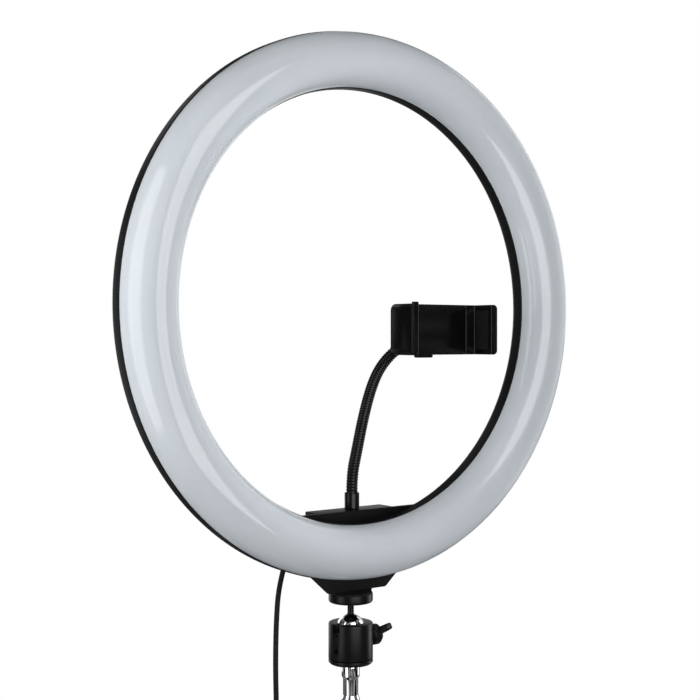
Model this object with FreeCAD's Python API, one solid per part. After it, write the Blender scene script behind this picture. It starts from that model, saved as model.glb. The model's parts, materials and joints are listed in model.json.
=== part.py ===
import FreeCAD, Part
import math
import os

# Ring light head with a gooseneck phone holder, on a mini ball head and its stand stud.
# Millimetres, +Z up, the light shines towards -Y.  The origin is the middle of the stud's shank.

V = FreeCAD.Vector
X_AXIS, Y_AXIS, Z_AXIS = V(1, 0, 0), V(0, 1, 0), V(0, 0, 1)
FRONT = V(0, -1, 0)

# --- driving dimensions -------------------------------------------------------------------
RING_CENTRE = V(0, -16.5, 275)        # on the seam between the diffuser and the rear housing
RING_R = 180.0                        # outer radius of the rear housing
RING_BORE_R = 143.3
RING_MID_R = (RING_R + RING_BORE_R) / 2
HOUSING_DEPTH = 11.0
HOUSING_WALL = 2.0
HOUSING_CORNER_R = 4.0
DIFFUSER_HALF_WIDTH = 17.75
DIFFUSER_BULGE = 21.0
DIFFUSER_WALL = 2.0
DIFFUSER_LIP = 3.5
LIP_HALF_WIDTH = 16.25
WEB_THICKNESS = 3.0
WEB_CHORD = -135.5                    # height of the web's top edge below the ring's centre
TAB_POINTS = [(42, -168), (37, -177), (23.5, -189)]
BLOCK_POINTS = [(31.5, -135.5), (31.5, -150), (20, -172), (13.5, -190.8)]
BLOCK_DEPTH = 14.0
BOARD_BACK = 7.1                      # depth of the board's back behind the seam
BOARD_THICKNESS = 1.6
BOARD_R = (149.0, 174.3)
BOARD_SCREWS = 8
LEDS_PER_ROW = 60
LED_ROWS = {"leds_warm": 156.8, "leds_cool": 166.5}
LED_SIZE = (3.0, 2.8, 0.7)
BLOCK_SCREW_SPOTS = [(-11, -153), (11, -153), (-8, -168), (8, -168)]
INSERT_R, INSERT_BORE_R, INSERT_LENGTH = 4.5, 3.15, 12.0
RUNNING_GAP = 0.05

BALL_CENTRE = V(0, 0, 59)
BALL_R = 10.0
CUP_R = 15.0
CUP_TOP, CUP_BOTTOM = 63.6, 36.0
CUP_GROOVE = 39.2
SEAT_R, SEAT_BOTTOM, SEAT_TOP = 12.85, 48.1, 55.4
STEM_R = 2.2
PLATFORM_R, PLATFORM_BOTTOM, PLATFORM_TOP = 14.95, 77.2, 83.3
PAD_TOP = RING_CENTRE.z + BLOCK_POINTS[-1][1]
QUARTER_INCH_R = 3.1                  # outside radius of a 1/4-20 thread
COLLAR_R, COLLAR_HEIGHT = 4.2, 1.8
NOTCH_ANGLE = 193.0                   # direction of the cup's drop notch, from +X towards +Y
NOTCH_HALF_WIDTH = 2.8
SET_SCREW_HEIGHT = 46.0
KNOB_HEIGHT = 52.5
KNOB_HUB_R, KNOB_START, KNOB_HUB_END = 7.0, 15.3, 24.0
KNOB_WING_TILT = 35.0
KNOB_SCREW_R = 2.5

STUD_R, STUD_NECK_R = 6.1, 5.15
STUD_HALF_SHANK = 11.5
STUD_SOCKET_R, STUD_SOCKET_DEPTH = 3.2, 10.0

NECK_R = 3.9
NECK_SLEEVE_R, NECK_SLEEVE_HEIGHT = 5.0, 11.2
NECK_FOOT = V(1, 0, RING_CENTRE.z + WEB_CHORD)
CLAMP_BALL_CENTRE = V(56, -7.5, 260)
CLAMP_BALL_R = 6.0
NECK_END_DIRECTION = V(0.12, -0.86, 0.50).normalize()
NECK_FERRULE_R = 4.8
FERRULE_START, FERRULE_END = 12.0, 19.0
NECK_LAST_RUN = 10.0
NECK_POINTS = [V(1, 0, 162.5), V(8.2, 4.0, 178), V(17.8, 10, 198), V(28.5, 16, 216.5),
               V(38, 20, 229.5), V(46, 20.5, 238.5)]

LINER_OUTER_R = 7.3
SOCKET_BORE_R = 7.35
SOCKET_OPENING = 72.0                 # half angle of the socket's mouth, from its axis
SOCKET_R, SOCKET_FLANGE_R = 9.0, 11.0
NUT_R, NUT_LOBES = 11.8, 24

CLAMP_X = (17.7, 94.3)                # outer faces of the two jaws
CLAMP_Z = (243.0, 277.2)
CLAMP_BACK, CLAMP_PLATE_FRONT, CLAMP_JAW_FRONT = -20.5, -26.0, -43.0
FIXED_JAW_WALL, SLIDING_JAW_WALL = 4.6, 5.7
CLAMP_COVER_THICKNESS = 1.2
CLAMP_SPLIT = 80.0                    # where the fixed plate ends and the sliding jaw begins
TONGUE_X = 40.0
CAVITY_X, CAVITY_HALF_HEIGHT, CAVITY_DEPTH = 24.0, 11.0, 3.1
PAD_THICKNESS = 1.0
SPRING_COIL_R, SPRING_WIRE_R, SPRING_TURNS = 1.05, 0.2, 11

CORD_R = 1.75
CORD_ROUTE = [V(-52.7, 0.5, 109), V(-52.7, 8.0, 93), V(-52.7, 11.0, 70), V(-53.0, 11.6, 41),
              V(-52.5, 11.2, 13), V(-52.7, 11.4, -8)]
COIL_CENTRE = V(-73.2, 11.4, -20)
COIL_MEAN_R, COIL_SECTION_R = 20.5, 6.4
BOOT_LENGTH = 14.0
LINK_TOP, LINK_BOTTOM = -30.0, -50.0
REMOTE_LOW, REMOTE_HIGH = V(-63.7, 5.9, -128), V(-41.7, 16.9, -58)
REMOTE_WALL = 1.4
REMOTE_BOOT = 8.0
CORD_TAIL = [V(-52.7, 11.4, -136), V(-52.7, 11.4, -152), V(-64.7, 13.8, -164),
             V(-81.7, 18.4, -164), V(-93.7, 21.6, -152), V(-94.3, 22.5, -124),
             V(-93.5, 22.2, -94), V(-93.7, 22.3, -64), V(-93.7, 22.3, -40)]
BUTTONS = {"power_button": -70.0, "mode_button": -86.0, "brighter_button": -102.0,
           "dimmer_button": -118.0}
BUTTON_R, BUTTON_PROUD = 4.0, 1.4
PLUG_LENGTH, PLUG_SHELL_LENGTH = 24.0, 14.0
TIE_LOW, TIE_HEIGHT, TIE_THICKNESS = -27.0, 8.0, 1.1

os.makedirs("parts", exist_ok=True)


# --- helpers ------------------------------------------------------------------------------
def save(name, shape):
    shape.exportStep("parts/" + name + ".step")
    print(name, len(shape.Solids), round(shape.Volume / 1000, 3), shape.isValid())


def box(low, high):
    size = high - low
    return Part.makeBox(size.x, size.y, size.z, low)


def rod(start, end, radius):
    return Part.makeCylinder(radius, (end - start).Length, start, end - start)


def taper(start, end, start_radius, end_radius):
    return Part.makeCone(start_radius, end_radius, (end - start).Length, start, end - start)


def ball(centre, radius):
    return Part.makeSphere(radius, centre)


def ring(centre, axis, inner_radius, outer_radius, length):
    """A tube of the given length that starts at centre and runs along axis."""
    outer = Part.makeCylinder(outer_radius, length, centre, axis)
    return outer.cut(Part.makeCylinder(inner_radius, length, centre, axis))


def turned(points, origin=V(0, 0, 0), axis=Z_AXIS):
    """Revolve a closed outline of (radius, height) points about axis through origin."""
    corners = [V(radius, 0, height) for radius, height in points]
    face = Part.Face(Part.makePolygon(corners + corners[:1]))
    shape = face.revolve(V(0, 0, 0), Z_AXIS, 360)
    shape.Placement = FreeCAD.Placement(origin, FreeCAD.Rotation(Z_AXIS, axis))
    return shape


def prism(points, y_low, y_high):
    """Extrude a closed (x, z) outline from y_low to y_high."""
    corners = [V(x, y_low, z) for x, z in points]
    return Part.Face(Part.makePolygon(corners + corners[:1])).extrude(V(0, y_high - y_low, 0))


def mirrored(points):
    """Close a right-hand (x, z) outline with its mirror image in x."""
    return points + [(-x, z) for x, z in reversed(points)]


def ring_point(x, z, depth):
    """A point given from the ring's centre; depth is measured backwards from the seam."""
    return V(x, RING_CENTRE.y + depth, RING_CENTRE.z + z)


def around(radius, count, depth, phase=0.0):
    """Points evenly spaced on a circle about the ring's axis, with their angles."""
    for index in range(count):
        angle = 360.0 * (index + phase) / count
        x = radius * math.cos(math.radians(angle))
        z = radius * math.sin(math.radians(angle))
        yield ring_point(x, z, depth), angle


def screw(seat, direction, head_radius, head_height, shank_radius, length):
    """A pan-head screw with a cross recess; seat is under the head, direction along the shank."""
    head = rod(seat, seat - direction * head_height, head_radius)
    shank = rod(seat, seat + direction * length, shank_radius)
    turn = FreeCAD.Rotation(Z_AXIS, direction)
    for across in (X_AXIS, Y_AXIS):
        along = turn.multVec(across)
        side = direction.cross(along)
        half_length, half_width = head_radius * 0.6, head_radius * 0.16
        base = seat - direction * head_height
        corners = [base + along * (half_length * a) + side * (half_width * b)
                   for a, b in ((1, 1), (-1, 1), (-1, -1), (1, -1))]
        slot = Part.Face(Part.makePolygon(corners + corners[:1]))
        head = head.cut(slot.extrude(direction * head_height * 0.55))
    return head.fuse(shank)


def round_path(points):
    """Straight runs joined by tangent arcs through the route's corners."""
    edges, radii, start = [], [], points[0]
    for before, corner, after in zip(points, points[1:], points[2:]):
        way_in, way_out = (corner - before), (after - corner)
        trim = 0.45 * min(way_in.Length, way_out.Length)
        way_in, way_out = V(way_in).normalize(), V(way_out).normalize()
        half_turn = way_in.getAngle(way_out) / 2
        radius = trim / math.tan(half_turn)
        inwards = (way_out - way_in).normalize()
        first, last = corner - way_in * trim, corner + way_out * trim
        middle = corner + inwards * (radius / math.cos(half_turn) - radius)
        edges.append(Part.LineSegment(start, first).toShape())
        edges.append(Part.Arc(first, middle, last).toShape())
        radii.append(round(radius, 1))
        start = last
    edges.append(Part.LineSegment(start, points[-1]).toShape())
    return Part.Wire(edges), radii


def tube(name, points, radius):
    wire, radii = round_path(points)
    section = Part.Wire(Part.makeCircle(radius, points[0], points[1] - points[0]))
    shape = wire.makePipeShell([section], True, False)
    expected = math.pi * radius ** 2 * wire.Length
    print(name, "length", round(wire.Length, 1), "radii", radii,
          "volume ratio", round(shape.Volume / expected, 4))
    return shape


# --- light head ---------------------------------------------------------------------------
def half_ellipse(half_width, bulge, limit):
    """The front-facing arc of an ellipse over the ring's section, trimmed at +-limit."""
    centre = V(RING_MID_R, 0, 0)
    curve = Part.Ellipse(centre + V(0, 0, bulge), centre + V(half_width, 0, 0), centre)
    angle = math.asin(limit / half_width)
    return Part.Arc(curve, -angle, angle).toShape()


def ends_of(edge):
    points = [edge.Vertexes[0].Point, edge.Vertexes[-1].Point]
    return sorted(points, key=lambda point: point.x)


def make_diffuser():
    inner_half, inner_bulge = DIFFUSER_HALF_WIDTH - DIFFUSER_WALL, DIFFUSER_BULGE - DIFFUSER_WALL
    lip_inner = LIP_HALF_WIDTH - DIFFUSER_WALL
    outside = half_ellipse(DIFFUSER_HALF_WIDTH, DIFFUSER_BULGE, DIFFUSER_HALF_WIDTH)
    inside = half_ellipse(inner_half, inner_bulge, lip_inner)
    outer_low, outer_high = ends_of(outside)
    inner_low, inner_high = ends_of(inside)
    edges = [outside, inside]
    for side, outer_end, inner_end in ((1, outer_high, inner_high), (-1, outer_low, inner_low)):
        corners = [outer_end,
                   V(RING_MID_R + side * LIP_HALF_WIDTH, 0, 0),
                   V(RING_MID_R + side * LIP_HALF_WIDTH, 0, -DIFFUSER_LIP),
                   V(RING_MID_R + side * lip_inner, 0, -DIFFUSER_LIP),
                   inner_end]
        edges += [Part.LineSegment(a, b).toShape() for a, b in zip(corners, corners[1:])]
    face = Part.Face(Part.Wire(Part.__sortEdges__(edges)))
    shape = face.revolve(V(0, 0, 0), Z_AXIS, 360)
    shape.Placement = FreeCAD.Placement(RING_CENTRE, FreeCAD.Rotation(Z_AXIS, FRONT))
    return shape


def make_tray():
    corner = HOUSING_CORNER_R
    bend = corner * (1 - math.sqrt(0.5))
    depth, wall = HOUSING_DEPTH, HOUSING_WALL
    outer, inner = RING_R, RING_BORE_R
    chain = [V(outer, 0, 0), V(outer, 0, corner - depth)]
    edges = [Part.LineSegment(*chain).toShape()]
    edges.append(Part.Arc(chain[-1], V(outer - bend, 0, bend - depth),
                          V(outer - corner, 0, -depth)).toShape())
    edges.append(Part.LineSegment(V(outer - corner, 0, -depth),
                                  V(inner + corner, 0, -depth)).toShape())
    edges.append(Part.Arc(V(inner + corner, 0, -depth), V(inner + bend, 0, bend - depth),
                          V(inner, 0, corner - depth)).toShape())
    chain = [V(inner, 0, corner - depth), V(inner, 0, 0), V(inner + wall, 0, 0),
             V(inner + wall, 0, wall - depth), V(outer - wall, 0, wall - depth),
             V(outer - wall, 0, 0), V(outer, 0, 0)]
    edges += [Part.LineSegment(a, b).toShape() for a, b in zip(chain, chain[1:])]
    shape = Part.Face(Part.Wire(edges)).revolve(V(0, 0, 0), Z_AXIS, 360)
    shape.Placement = FreeCAD.Placement(RING_CENTRE, FreeCAD.Rotation(Z_AXIS, FRONT))
    return shape


def make_rear_housing():
    front, back = HOUSING_DEPTH - WEB_THICKNESS, HOUSING_DEPTH
    y_front, y_back = RING_CENTRE.y + front, RING_CENTRE.y + back
    disc = Part.makeCylinder(RING_BORE_R + 1, WEB_THICKNESS, ring_point(0, 0, front), Y_AXIS)
    web = disc.common(box(ring_point(-80, -160, front), ring_point(80, WEB_CHORD, back)))
    outline = [(x, RING_CENTRE.z + z) for x, z in TAB_POINTS]
    tab = prism(mirrored(outline), y_front, y_back)
    tab = tab.cut(Part.makeCylinder(RING_R - 1, 40, ring_point(0, 0, -10), Y_AXIS))
    shape = make_tray().fuse([web, tab])
    inside = HOUSING_DEPTH - HOUSING_WALL
    for spot, _ in around(RING_MID_R, BOARD_SCREWS, BOARD_BACK, 0.5):
        height = inside - BOARD_BACK
        shape = shape.fuse(rod(spot, spot + V(0, height + 0.5, 0), 3.5))
    for spot, _ in around(RING_MID_R, BOARD_SCREWS, BOARD_BACK, 0.5):
        shape = shape.cut(rod(spot, spot + V(0, 3.0, 0), 1.25))
    for x, z in BLOCK_SCREW_SPOTS:
        shape = shape.cut(rod(ring_point(x, z, inside - 1), ring_point(x, z, back + 1), 1.6))
    entry = gland_entry()
    shape = shape.cut(rod(entry - V(0, 5, 0), entry + V(0, 2, 0), 2.0))
    return shape.removeSplitter()


def make_led_board():
    shape = ring(ring_point(0, 0, BOARD_BACK - BOARD_THICKNESS), Y_AXIS, *BOARD_R, BOARD_THICKNESS)
    for spot, _ in around(RING_MID_R, BOARD_SCREWS, BOARD_BACK - 3, 0.5):
        shape = shape.cut(rod(spot, spot + V(0, 6, 0), 1.7))
    return shape


def make_leds(radius, phase):
    width, length, height = LED_SIZE
    chips = []
    for spot, angle in around(radius, LEDS_PER_ROW, BOARD_BACK - BOARD_THICKNESS, phase):
        chip = Part.makeBox(length, height, width, V(-length / 2, -height, -width / 2))
        turn = FreeCAD.Rotation(Y_AXIS, -angle)
        chip.Placement = FreeCAD.Placement(spot, turn)
        chips.append(chip)
    return Part.makeCompound(chips)


def make_mount_block():
    low, high = RING_CENTRE.y + HOUSING_DEPTH, RING_CENTRE.y + HOUSING_DEPTH + BLOCK_DEPTH
    outline = [(x, RING_CENTRE.z + z) for x, z in BLOCK_POINTS]
    shape = prism(mirrored(outline), low, high)
    rear = [edge for edge in shape.Edges if abs(edge.CenterOfMass.y - high) < 0.01]
    shape = shape.makeFillet(2.0, rear)
    for base, axis in insert_places():
        shape = shape.cut(Part.makeCylinder(INSERT_R, INSERT_LENGTH, base, axis))
    for x, z in BLOCK_SCREW_SPOTS:
        start = ring_point(x, z, HOUSING_DEPTH)
        shape = shape.cut(rod(start, start + V(0, 8.5, 0), 1.5))
    return shape


def insert_places():
    """Mouth and inward direction of the brass thread inserts: neck above, ball head below."""
    return [(V(NECK_FOOT), -Z_AXIS), (V(0, 0, PAD_TOP), V(Z_AXIS))]


def gland_direction():
    return (CORD_ROUTE[1] - CORD_ROUTE[0]).normalize()


def gland_entry():
    return V(CORD_ROUTE[0].x, RING_CENTRE.y + HOUSING_DEPTH,
             (CORD_ROUTE[0] - gland_direction() * BOOT_LENGTH).z)


def make_gland():
    tip, way = CORD_ROUTE[0], gland_direction()
    entry = gland_entry()
    flange = box(entry + V(-6, 0, -6), entry + V(6, 4.5, 6))
    flange = flange.makeFillet(1.5, [edge for edge in flange.Edges
                                     if abs(edge.CenterOfMass.y - entry.y - 4.5) < 0.01])
    boot = taper(tip - way * BOOT_LENGTH, tip, 4.3, 2.4)
    boot = boot.cut(box(entry + V(-30, -30, -30), entry + V(30, 0, 30)))
    return flange.fuse(boot).removeSplitter()


def make_inner_lead():
    entry = gland_entry()
    return rod(entry - V(0, HOUSING_DEPTH - BOARD_BACK, 0), entry, 1.4)


save("diffuser", make_diffuser())
save("rear_housing", make_rear_housing())
save("led_board", make_led_board())
for led_name, led_radius in LED_ROWS.items():
    save(led_name, make_leds(led_radius, 0.0 if led_name == "leds_warm" else 0.5))
save("board_screws", Part.makeCompound(
    [screw(spot, Y_AXIS, 2.7, 1.6, 1.25, 4.5)
     for spot, _ in around(RING_MID_R, BOARD_SCREWS, BOARD_BACK - BOARD_THICKNESS, 0.5)]))
save("mount_block", make_mount_block())
save("block_screws", Part.makeCompound(
    [screw(ring_point(x, z, HOUSING_DEPTH - HOUSING_WALL), Y_AXIS, 2.8, 1.5, 1.5, 10)
     for x, z in BLOCK_SCREW_SPOTS]))
for insert_name, (mouth, inwards) in zip(("neck_insert", "platform_insert"), insert_places()):
    save(insert_name, ring(mouth, inwards, INSERT_BORE_R, INSERT_R, INSERT_LENGTH))
save("cable_gland", make_gland())
save("inner_lead", make_inner_lead())


# --- gooseneck ----------------------------------------------------------------------------
def along_neck(distance):
    """A point on the neck's end line, measured back from the clamp ball's centre."""
    return CLAMP_BALL_CENTRE - NECK_END_DIRECTION * distance


NECK_ROUTE = ([NECK_FOOT + V(0, 0, NECK_SLEEVE_HEIGHT)] + NECK_POINTS
              + [along_neck(FERRULE_END + NECK_LAST_RUN), along_neck(FERRULE_END)])

sleeve = turned([(0, 0), (NECK_SLEEVE_R - 0.4, 0), (NECK_SLEEVE_R, 0.4),
                 (NECK_SLEEVE_R, NECK_SLEEVE_HEIGHT - 0.6),
                 (NECK_SLEEVE_R - 0.6, NECK_SLEEVE_HEIGHT), (0, NECK_SLEEVE_HEIGHT)], NECK_FOOT)
save("gooseneck_sleeve", sleeve.fuse(rod(NECK_FOOT, NECK_FOOT - V(0, 0, 10), QUARTER_INCH_R)))
save("gooseneck", tube("gooseneck", NECK_ROUTE, NECK_R))
ferrule = turned([(0, 0), (NECK_FERRULE_R - 0.5, 0), (NECK_FERRULE_R, 0.5),
                  (NECK_FERRULE_R, 5.4), (3.2, 7), (0, 7)],
                 along_neck(FERRULE_END), NECK_END_DIRECTION)
ball_neck = rod(along_neck(FERRULE_START), along_neck(CLAMP_BALL_R - 1), 2.25)
save("neck_ball_stud", ferrule.fuse([ball_neck, ball(CLAMP_BALL_CENTRE, CLAMP_BALL_R)]))


# --- phone clamp --------------------------------------------------------------------------
def mouth_cone(reach):
    """The cone-shaped way out at the back of the clamp's ball socket."""
    wide = reach * math.tan(math.radians(SOCKET_OPENING))
    return Part.makeCone(0, wide, reach, CLAMP_BALL_CENTRE, Y_AXIS)


def make_liner():
    shell = ball(CLAMP_BALL_CENTRE, LINER_OUTER_R)
    shell = shell.cut(ball(CLAMP_BALL_CENTRE, CLAMP_BALL_R + RUNNING_GAP))
    return shell.cut(mouth_cone(12))


def make_socket():
    centre_depth = CLAMP_BALL_CENTRE.y - CLAMP_BACK
    mouth = centre_depth + SOCKET_BORE_R * math.cos(math.radians(SOCKET_OPENING))
    body = turned([(0, 0.1), (SOCKET_FLANGE_R, 0.1), (SOCKET_FLANGE_R, 1.9), (SOCKET_R, 1.9),
                   (SOCKET_R, mouth), (0, mouth)],
                  V(CLAMP_BALL_CENTRE.x, CLAMP_BACK, CLAMP_BALL_CENTRE.z), Y_AXIS)
    return body.cut([ball(CLAMP_BALL_CENTRE, SOCKET_BORE_R), mouth_cone(12)])


def make_lock_nut():
    """A ring nut whose rim is a row of flat-topped grip ribs."""
    base = V(CLAMP_BALL_CENTRE.x, CLAMP_BACK + 7.0, CLAMP_BALL_CENTRE.z)
    corners = []
    for index in range(NUT_LOBES):
        for share, radius in ((0.0, NUT_R), (0.5, NUT_R), (0.62, NUT_R - 0.7), (0.88, NUT_R - 0.7)):
            angle = 2 * math.pi * (index + share) / NUT_LOBES
            corners.append(base + V(radius * math.cos(angle), 0, radius * math.sin(angle)))
    grip = Part.Face(Part.makePolygon(corners + corners[:1])).extrude(V(0, 7.5, 0))
    collar = Part.makeCylinder(NUT_R - 1.2, 8.5, base, Y_AXIS)
    return grip.fuse(collar).cut(Part.makeCylinder(SOCKET_R + RUNNING_GAP, 9, base, Y_AXIS))


def jaw_outline(x_low, x_high, z_low, z_high, front, back, radius, corner_x):
    """A block with its two front and back corners on one x side rounded in the x-z view."""
    shape = box(V(x_low, front, z_low), V(x_high, back, z_high))
    edges = [edge for edge in shape.Edges
             if abs(edge.CenterOfMass.x - corner_x) < 0.01
             and abs(edge.CenterOfMass.y - (front + back) / 2) < 0.01]
    return shape.makeFillet(radius, edges)


CLAMP_MID_Z = sum(CLAMP_Z) / 2


def make_clamp_body():
    x_low, x_high = CLAMP_X[0], CLAMP_SPLIT
    inner_back = CLAMP_BACK - CLAMP_COVER_THICKNESS
    plate = jaw_outline(x_low, x_high, *CLAMP_Z, CLAMP_PLATE_FRONT, inner_back, 4.5, x_low)
    jaw = jaw_outline(x_low, x_low + FIXED_JAW_WALL, *CLAMP_Z, CLAMP_JAW_FRONT, inner_back, 4.5, x_low)
    lip = box(V(x_low + 1.2, CLAMP_JAW_FRONT, CLAMP_Z[0] + 1.0),
              V(x_low + FIXED_JAW_WALL + 1.4, CLAMP_JAW_FRONT + 2.2, CLAMP_Z[1] - 1.0))
    lip = lip.makeFillet(0.7, lip.Edges)
    tab = box(V(37, CLAMP_PLATE_FRONT, CLAMP_Z[0] - 1.9), V(50.5, inner_back, CLAMP_Z[0] + 1))
    tab = tab.makeFillet(1.2, [edge for edge in tab.Edges
                               if abs(edge.CenterOfMass.z - CLAMP_Z[0] + 1.9) < 0.01])
    shape = plate.fuse([jaw, lip, tab])
    cavity = box(V(CAVITY_X, inner_back - CAVITY_DEPTH, CLAMP_MID_Z - CAVITY_HALF_HEIGHT),
                 V(CLAMP_SPLIT + 1, inner_back + 1, CLAMP_MID_Z + CAVITY_HALF_HEIGHT))
    shape = shape.cut(cavity)
    shape = shape.cut(make_jaw_pad(x_low + FIXED_JAW_WALL - PAD_THICKNESS, x_low + FIXED_JAW_WALL))
    for spot in clamp_screw_spots():
        shape = shape.cut(rod(spot, spot - V(0, 3.2, 0), 0.9))
    for post in spring_posts(CAVITY_X + 1.2):
        shape = shape.fuse(post)
    return shape.removeSplitter()


def spring_heights():
    return [CLAMP_MID_Z - 7, CLAMP_MID_Z + 7]


def spring_posts(x):
    """Small pegs in the cavity that the tension springs hook on."""
    back = CLAMP_BACK - CLAMP_COVER_THICKNESS
    return [rod(V(x, back - CAVITY_DEPTH - 0.3, height), V(x, back - 0.05, height), 0.7)
            for height in spring_heights()]


def clamp_screw_spots():
    y = CLAMP_BACK - CLAMP_COVER_THICKNESS
    return [V(x, y, CLAMP_MID_Z + side * 13.6) for x in (28, 74) for side in (-1, 1)]


def make_clamp_cover():
    inner_back = CLAMP_BACK - CLAMP_COVER_THICKNESS
    shape = jaw_outline(CLAMP_X[0], CLAMP_SPLIT, *CLAMP_Z, inner_back, CLAMP_BACK, 4.5, CLAMP_X[0])
    centre = V(CLAMP_BALL_CENTRE.x, CLAMP_BACK, CLAMP_BALL_CENTRE.z)
    shape = shape.fuse(ring(centre, Y_AXIS, SOCKET_FLANGE_R + 0.1, 13.2, 3.6))
    for spot in clamp_screw_spots():
        shape = shape.cut(rod(spot - V(0, 1, 0), spot + V(0, 3, 0), 1.1))
    return shape


def make_sliding_jaw():
    x_low, x_high = CLAMP_SPLIT + 0.3, CLAMP_X[1]
    plate = jaw_outline(x_low, x_high, *CLAMP_Z, CLAMP_PLATE_FRONT, CLAMP_BACK, 3.2, x_high)
    jaw = jaw_outline(x_high - SLIDING_JAW_WALL, x_high, *CLAMP_Z, CLAMP_JAW_FRONT, CLAMP_BACK,
                      3.2, x_high)
    back = CLAMP_BACK - CLAMP_COVER_THICKNESS - 0.3
    half = CAVITY_HALF_HEIGHT - 0.3
    tongue = box(V(TONGUE_X, back - CAVITY_DEPTH + 0.6, CLAMP_MID_Z - half),
                 V(x_low + 1, back, CLAMP_MID_Z + half))
    tongue = tongue.cut(box(V(TONGUE_X - 1, back - 5, CLAMP_MID_Z - half + 1.8),
                            V(TONGUE_X + 3.5, back + 5, CLAMP_MID_Z + half - 1.8)))
    posts = [rod(V(TONGUE_X + 4.4, back - 1.2, height), V(TONGUE_X + 4.4, back + 0.1, height), 0.7)
             for height in spring_heights()]
    shape = plate.fuse([jaw, tongue] + posts)
    inner_face = x_high - SLIDING_JAW_WALL
    return shape.cut(make_jaw_pad(inner_face, inner_face + PAD_THICKNESS)).removeSplitter()


def make_springs():
    start, end = CAVITY_X + 2.4, TONGUE_X + 2.6
    back = CLAMP_BACK - CLAMP_COVER_THICKNESS
    springs = []
    for height in spring_heights():
        pitch = (end - start) / SPRING_TURNS
        helix = Part.Wire(Part.makeHelix(pitch, end - start, SPRING_COIL_R))
        section = Part.Wire(Part.makeCircle(SPRING_WIRE_R, V(SPRING_COIL_R, 0, 0), Y_AXIS))
        spring = helix.makePipeShell([section], True, True)
        spring.Placement = FreeCAD.Placement(V(start, back - 1.75, height),
                                             FreeCAD.Rotation(Z_AXIS, X_AXIS))
        springs.append(spring)
    return Part.makeCompound(springs)


def make_jaw_pad(x_low, x_high):
    """A rubber strip that lies flush in a pocket of its jaw."""
    return box(V(x_low, CLAMP_JAW_FRONT + 3.2, CLAMP_Z[0] + 3.5),
               V(x_high, CLAMP_PLATE_FRONT - 1.2, CLAMP_Z[1] - 3.5))


save("ball_liner", make_liner())
save("clamp_socket", make_socket())
save("lock_nut", make_lock_nut())
save("clamp_body", make_clamp_body())
save("clamp_cover", make_clamp_cover())
save("retaining_ring", ring(V(CLAMP_BALL_CENTRE.x, CLAMP_BACK + 2.1, CLAMP_BALL_CENTRE.z), Y_AXIS,
                            SOCKET_R + 0.2, SOCKET_FLANGE_R + 0.1, 1.3))
save("clamp_screws", Part.makeCompound(
    [screw(spot + V(0, CLAMP_COVER_THICKNESS, 0), FRONT, 1.9, 0.9, 0.9, 4.2)
     for spot in clamp_screw_spots()]))
save("sliding_jaw", make_sliding_jaw())
save("jaw_springs", make_springs())
save("fixed_jaw_pad", make_jaw_pad(CLAMP_X[0] + FIXED_JAW_WALL - PAD_THICKNESS,
                                   CLAMP_X[0] + FIXED_JAW_WALL))
save("sliding_jaw_pad", make_jaw_pad(CLAMP_X[1] - SLIDING_JAW_WALL,
                                     CLAMP_X[1] - SLIDING_JAW_WALL + PAD_THICKNESS))


# --- ball head and stand stud -------------------------------------------------------------
def direction_at(angle):
    return V(math.cos(math.radians(angle)), math.sin(math.radians(angle)), 0)


def make_housing():
    shape = turned([(0, CUP_GROOVE + 0.4), (CUP_R - 0.4, CUP_GROOVE + 0.4), (CUP_R, CUP_GROOVE + 0.8),
                    (CUP_R, CUP_TOP - 1.0), (CUP_R - 0.3, CUP_TOP - 0.3), (CUP_R - 1.0, CUP_TOP),
                    (0, CUP_TOP)])
    shape = shape.cut(rod(V(0, 0, CUP_GROOVE), V(0, 0, SEAT_TOP + 0.1), SEAT_R + RUNNING_GAP))
    shape = shape.cut(ball(BALL_CENTRE, BALL_R + 0.15))
    way = direction_at(NOTCH_ANGLE)
    centre = BALL_CENTRE - V(0, 0, 0.2)
    slot = rod(centre, centre + way * 20, NOTCH_HALF_WIDTH)
    side = Z_AXIS.cross(way)
    corners = [centre + side * NOTCH_HALF_WIDTH, centre - side * NOTCH_HALF_WIDTH]
    corners += [corner + way * 20 for corner in reversed(corners)]
    slot = slot.fuse(Part.Face(Part.makePolygon(corners + corners[:1])).extrude(V(0, 0, 10)))
    shape = shape.cut(slot)
    shape = shape.cut(rod(V(5, 0, KNOB_HEIGHT), V(20, 0, KNOB_HEIGHT), KNOB_SCREW_R + RUNNING_GAP))
    hole = V(0, 0, SET_SCREW_HEIGHT)
    return shape.cut(rod(hole + way * 10, hole + way * 20, 1.75))


def make_seat():
    shape = rod(V(0, 0, SEAT_BOTTOM), V(0, 0, SEAT_TOP), SEAT_R)
    shape = shape.cut(ball(BALL_CENTRE, BALL_R + 0.1))
    return shape.cut(rod(V(0, 0, KNOB_HEIGHT), V(20, 0, KNOB_HEIGHT), KNOB_SCREW_R + RUNNING_GAP))


def make_base_plate():
    shape = turned([(0, CUP_BOTTOM), (CUP_R - 1.3, CUP_BOTTOM), (CUP_R, CUP_BOTTOM + 1.3),
                    (CUP_R, CUP_GROOVE - 0.4), (CUP_R - 0.4, CUP_GROOVE),
                    (SEAT_R - 0.05, CUP_GROOVE), (SEAT_R - 0.05, SEAT_BOTTOM - 0.1),
                    (0, SEAT_BOTTOM - 0.1)])
    return shape.cut(rod(V(0, 0, CUP_BOTTOM), V(0, 0, CUP_BOTTOM + 9.5), 5.0))


def make_set_screw():
    way = direction_at(NOTCH_ANGLE)
    start = V(0, 0, SET_SCREW_HEIGHT) + way * (SEAT_R - 0.02)
    shape = rod(start, start + way * 1.6, 1.7)
    return shape.cut(rod(start + way * 0.8, start + way * 2, 0.8))


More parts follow.
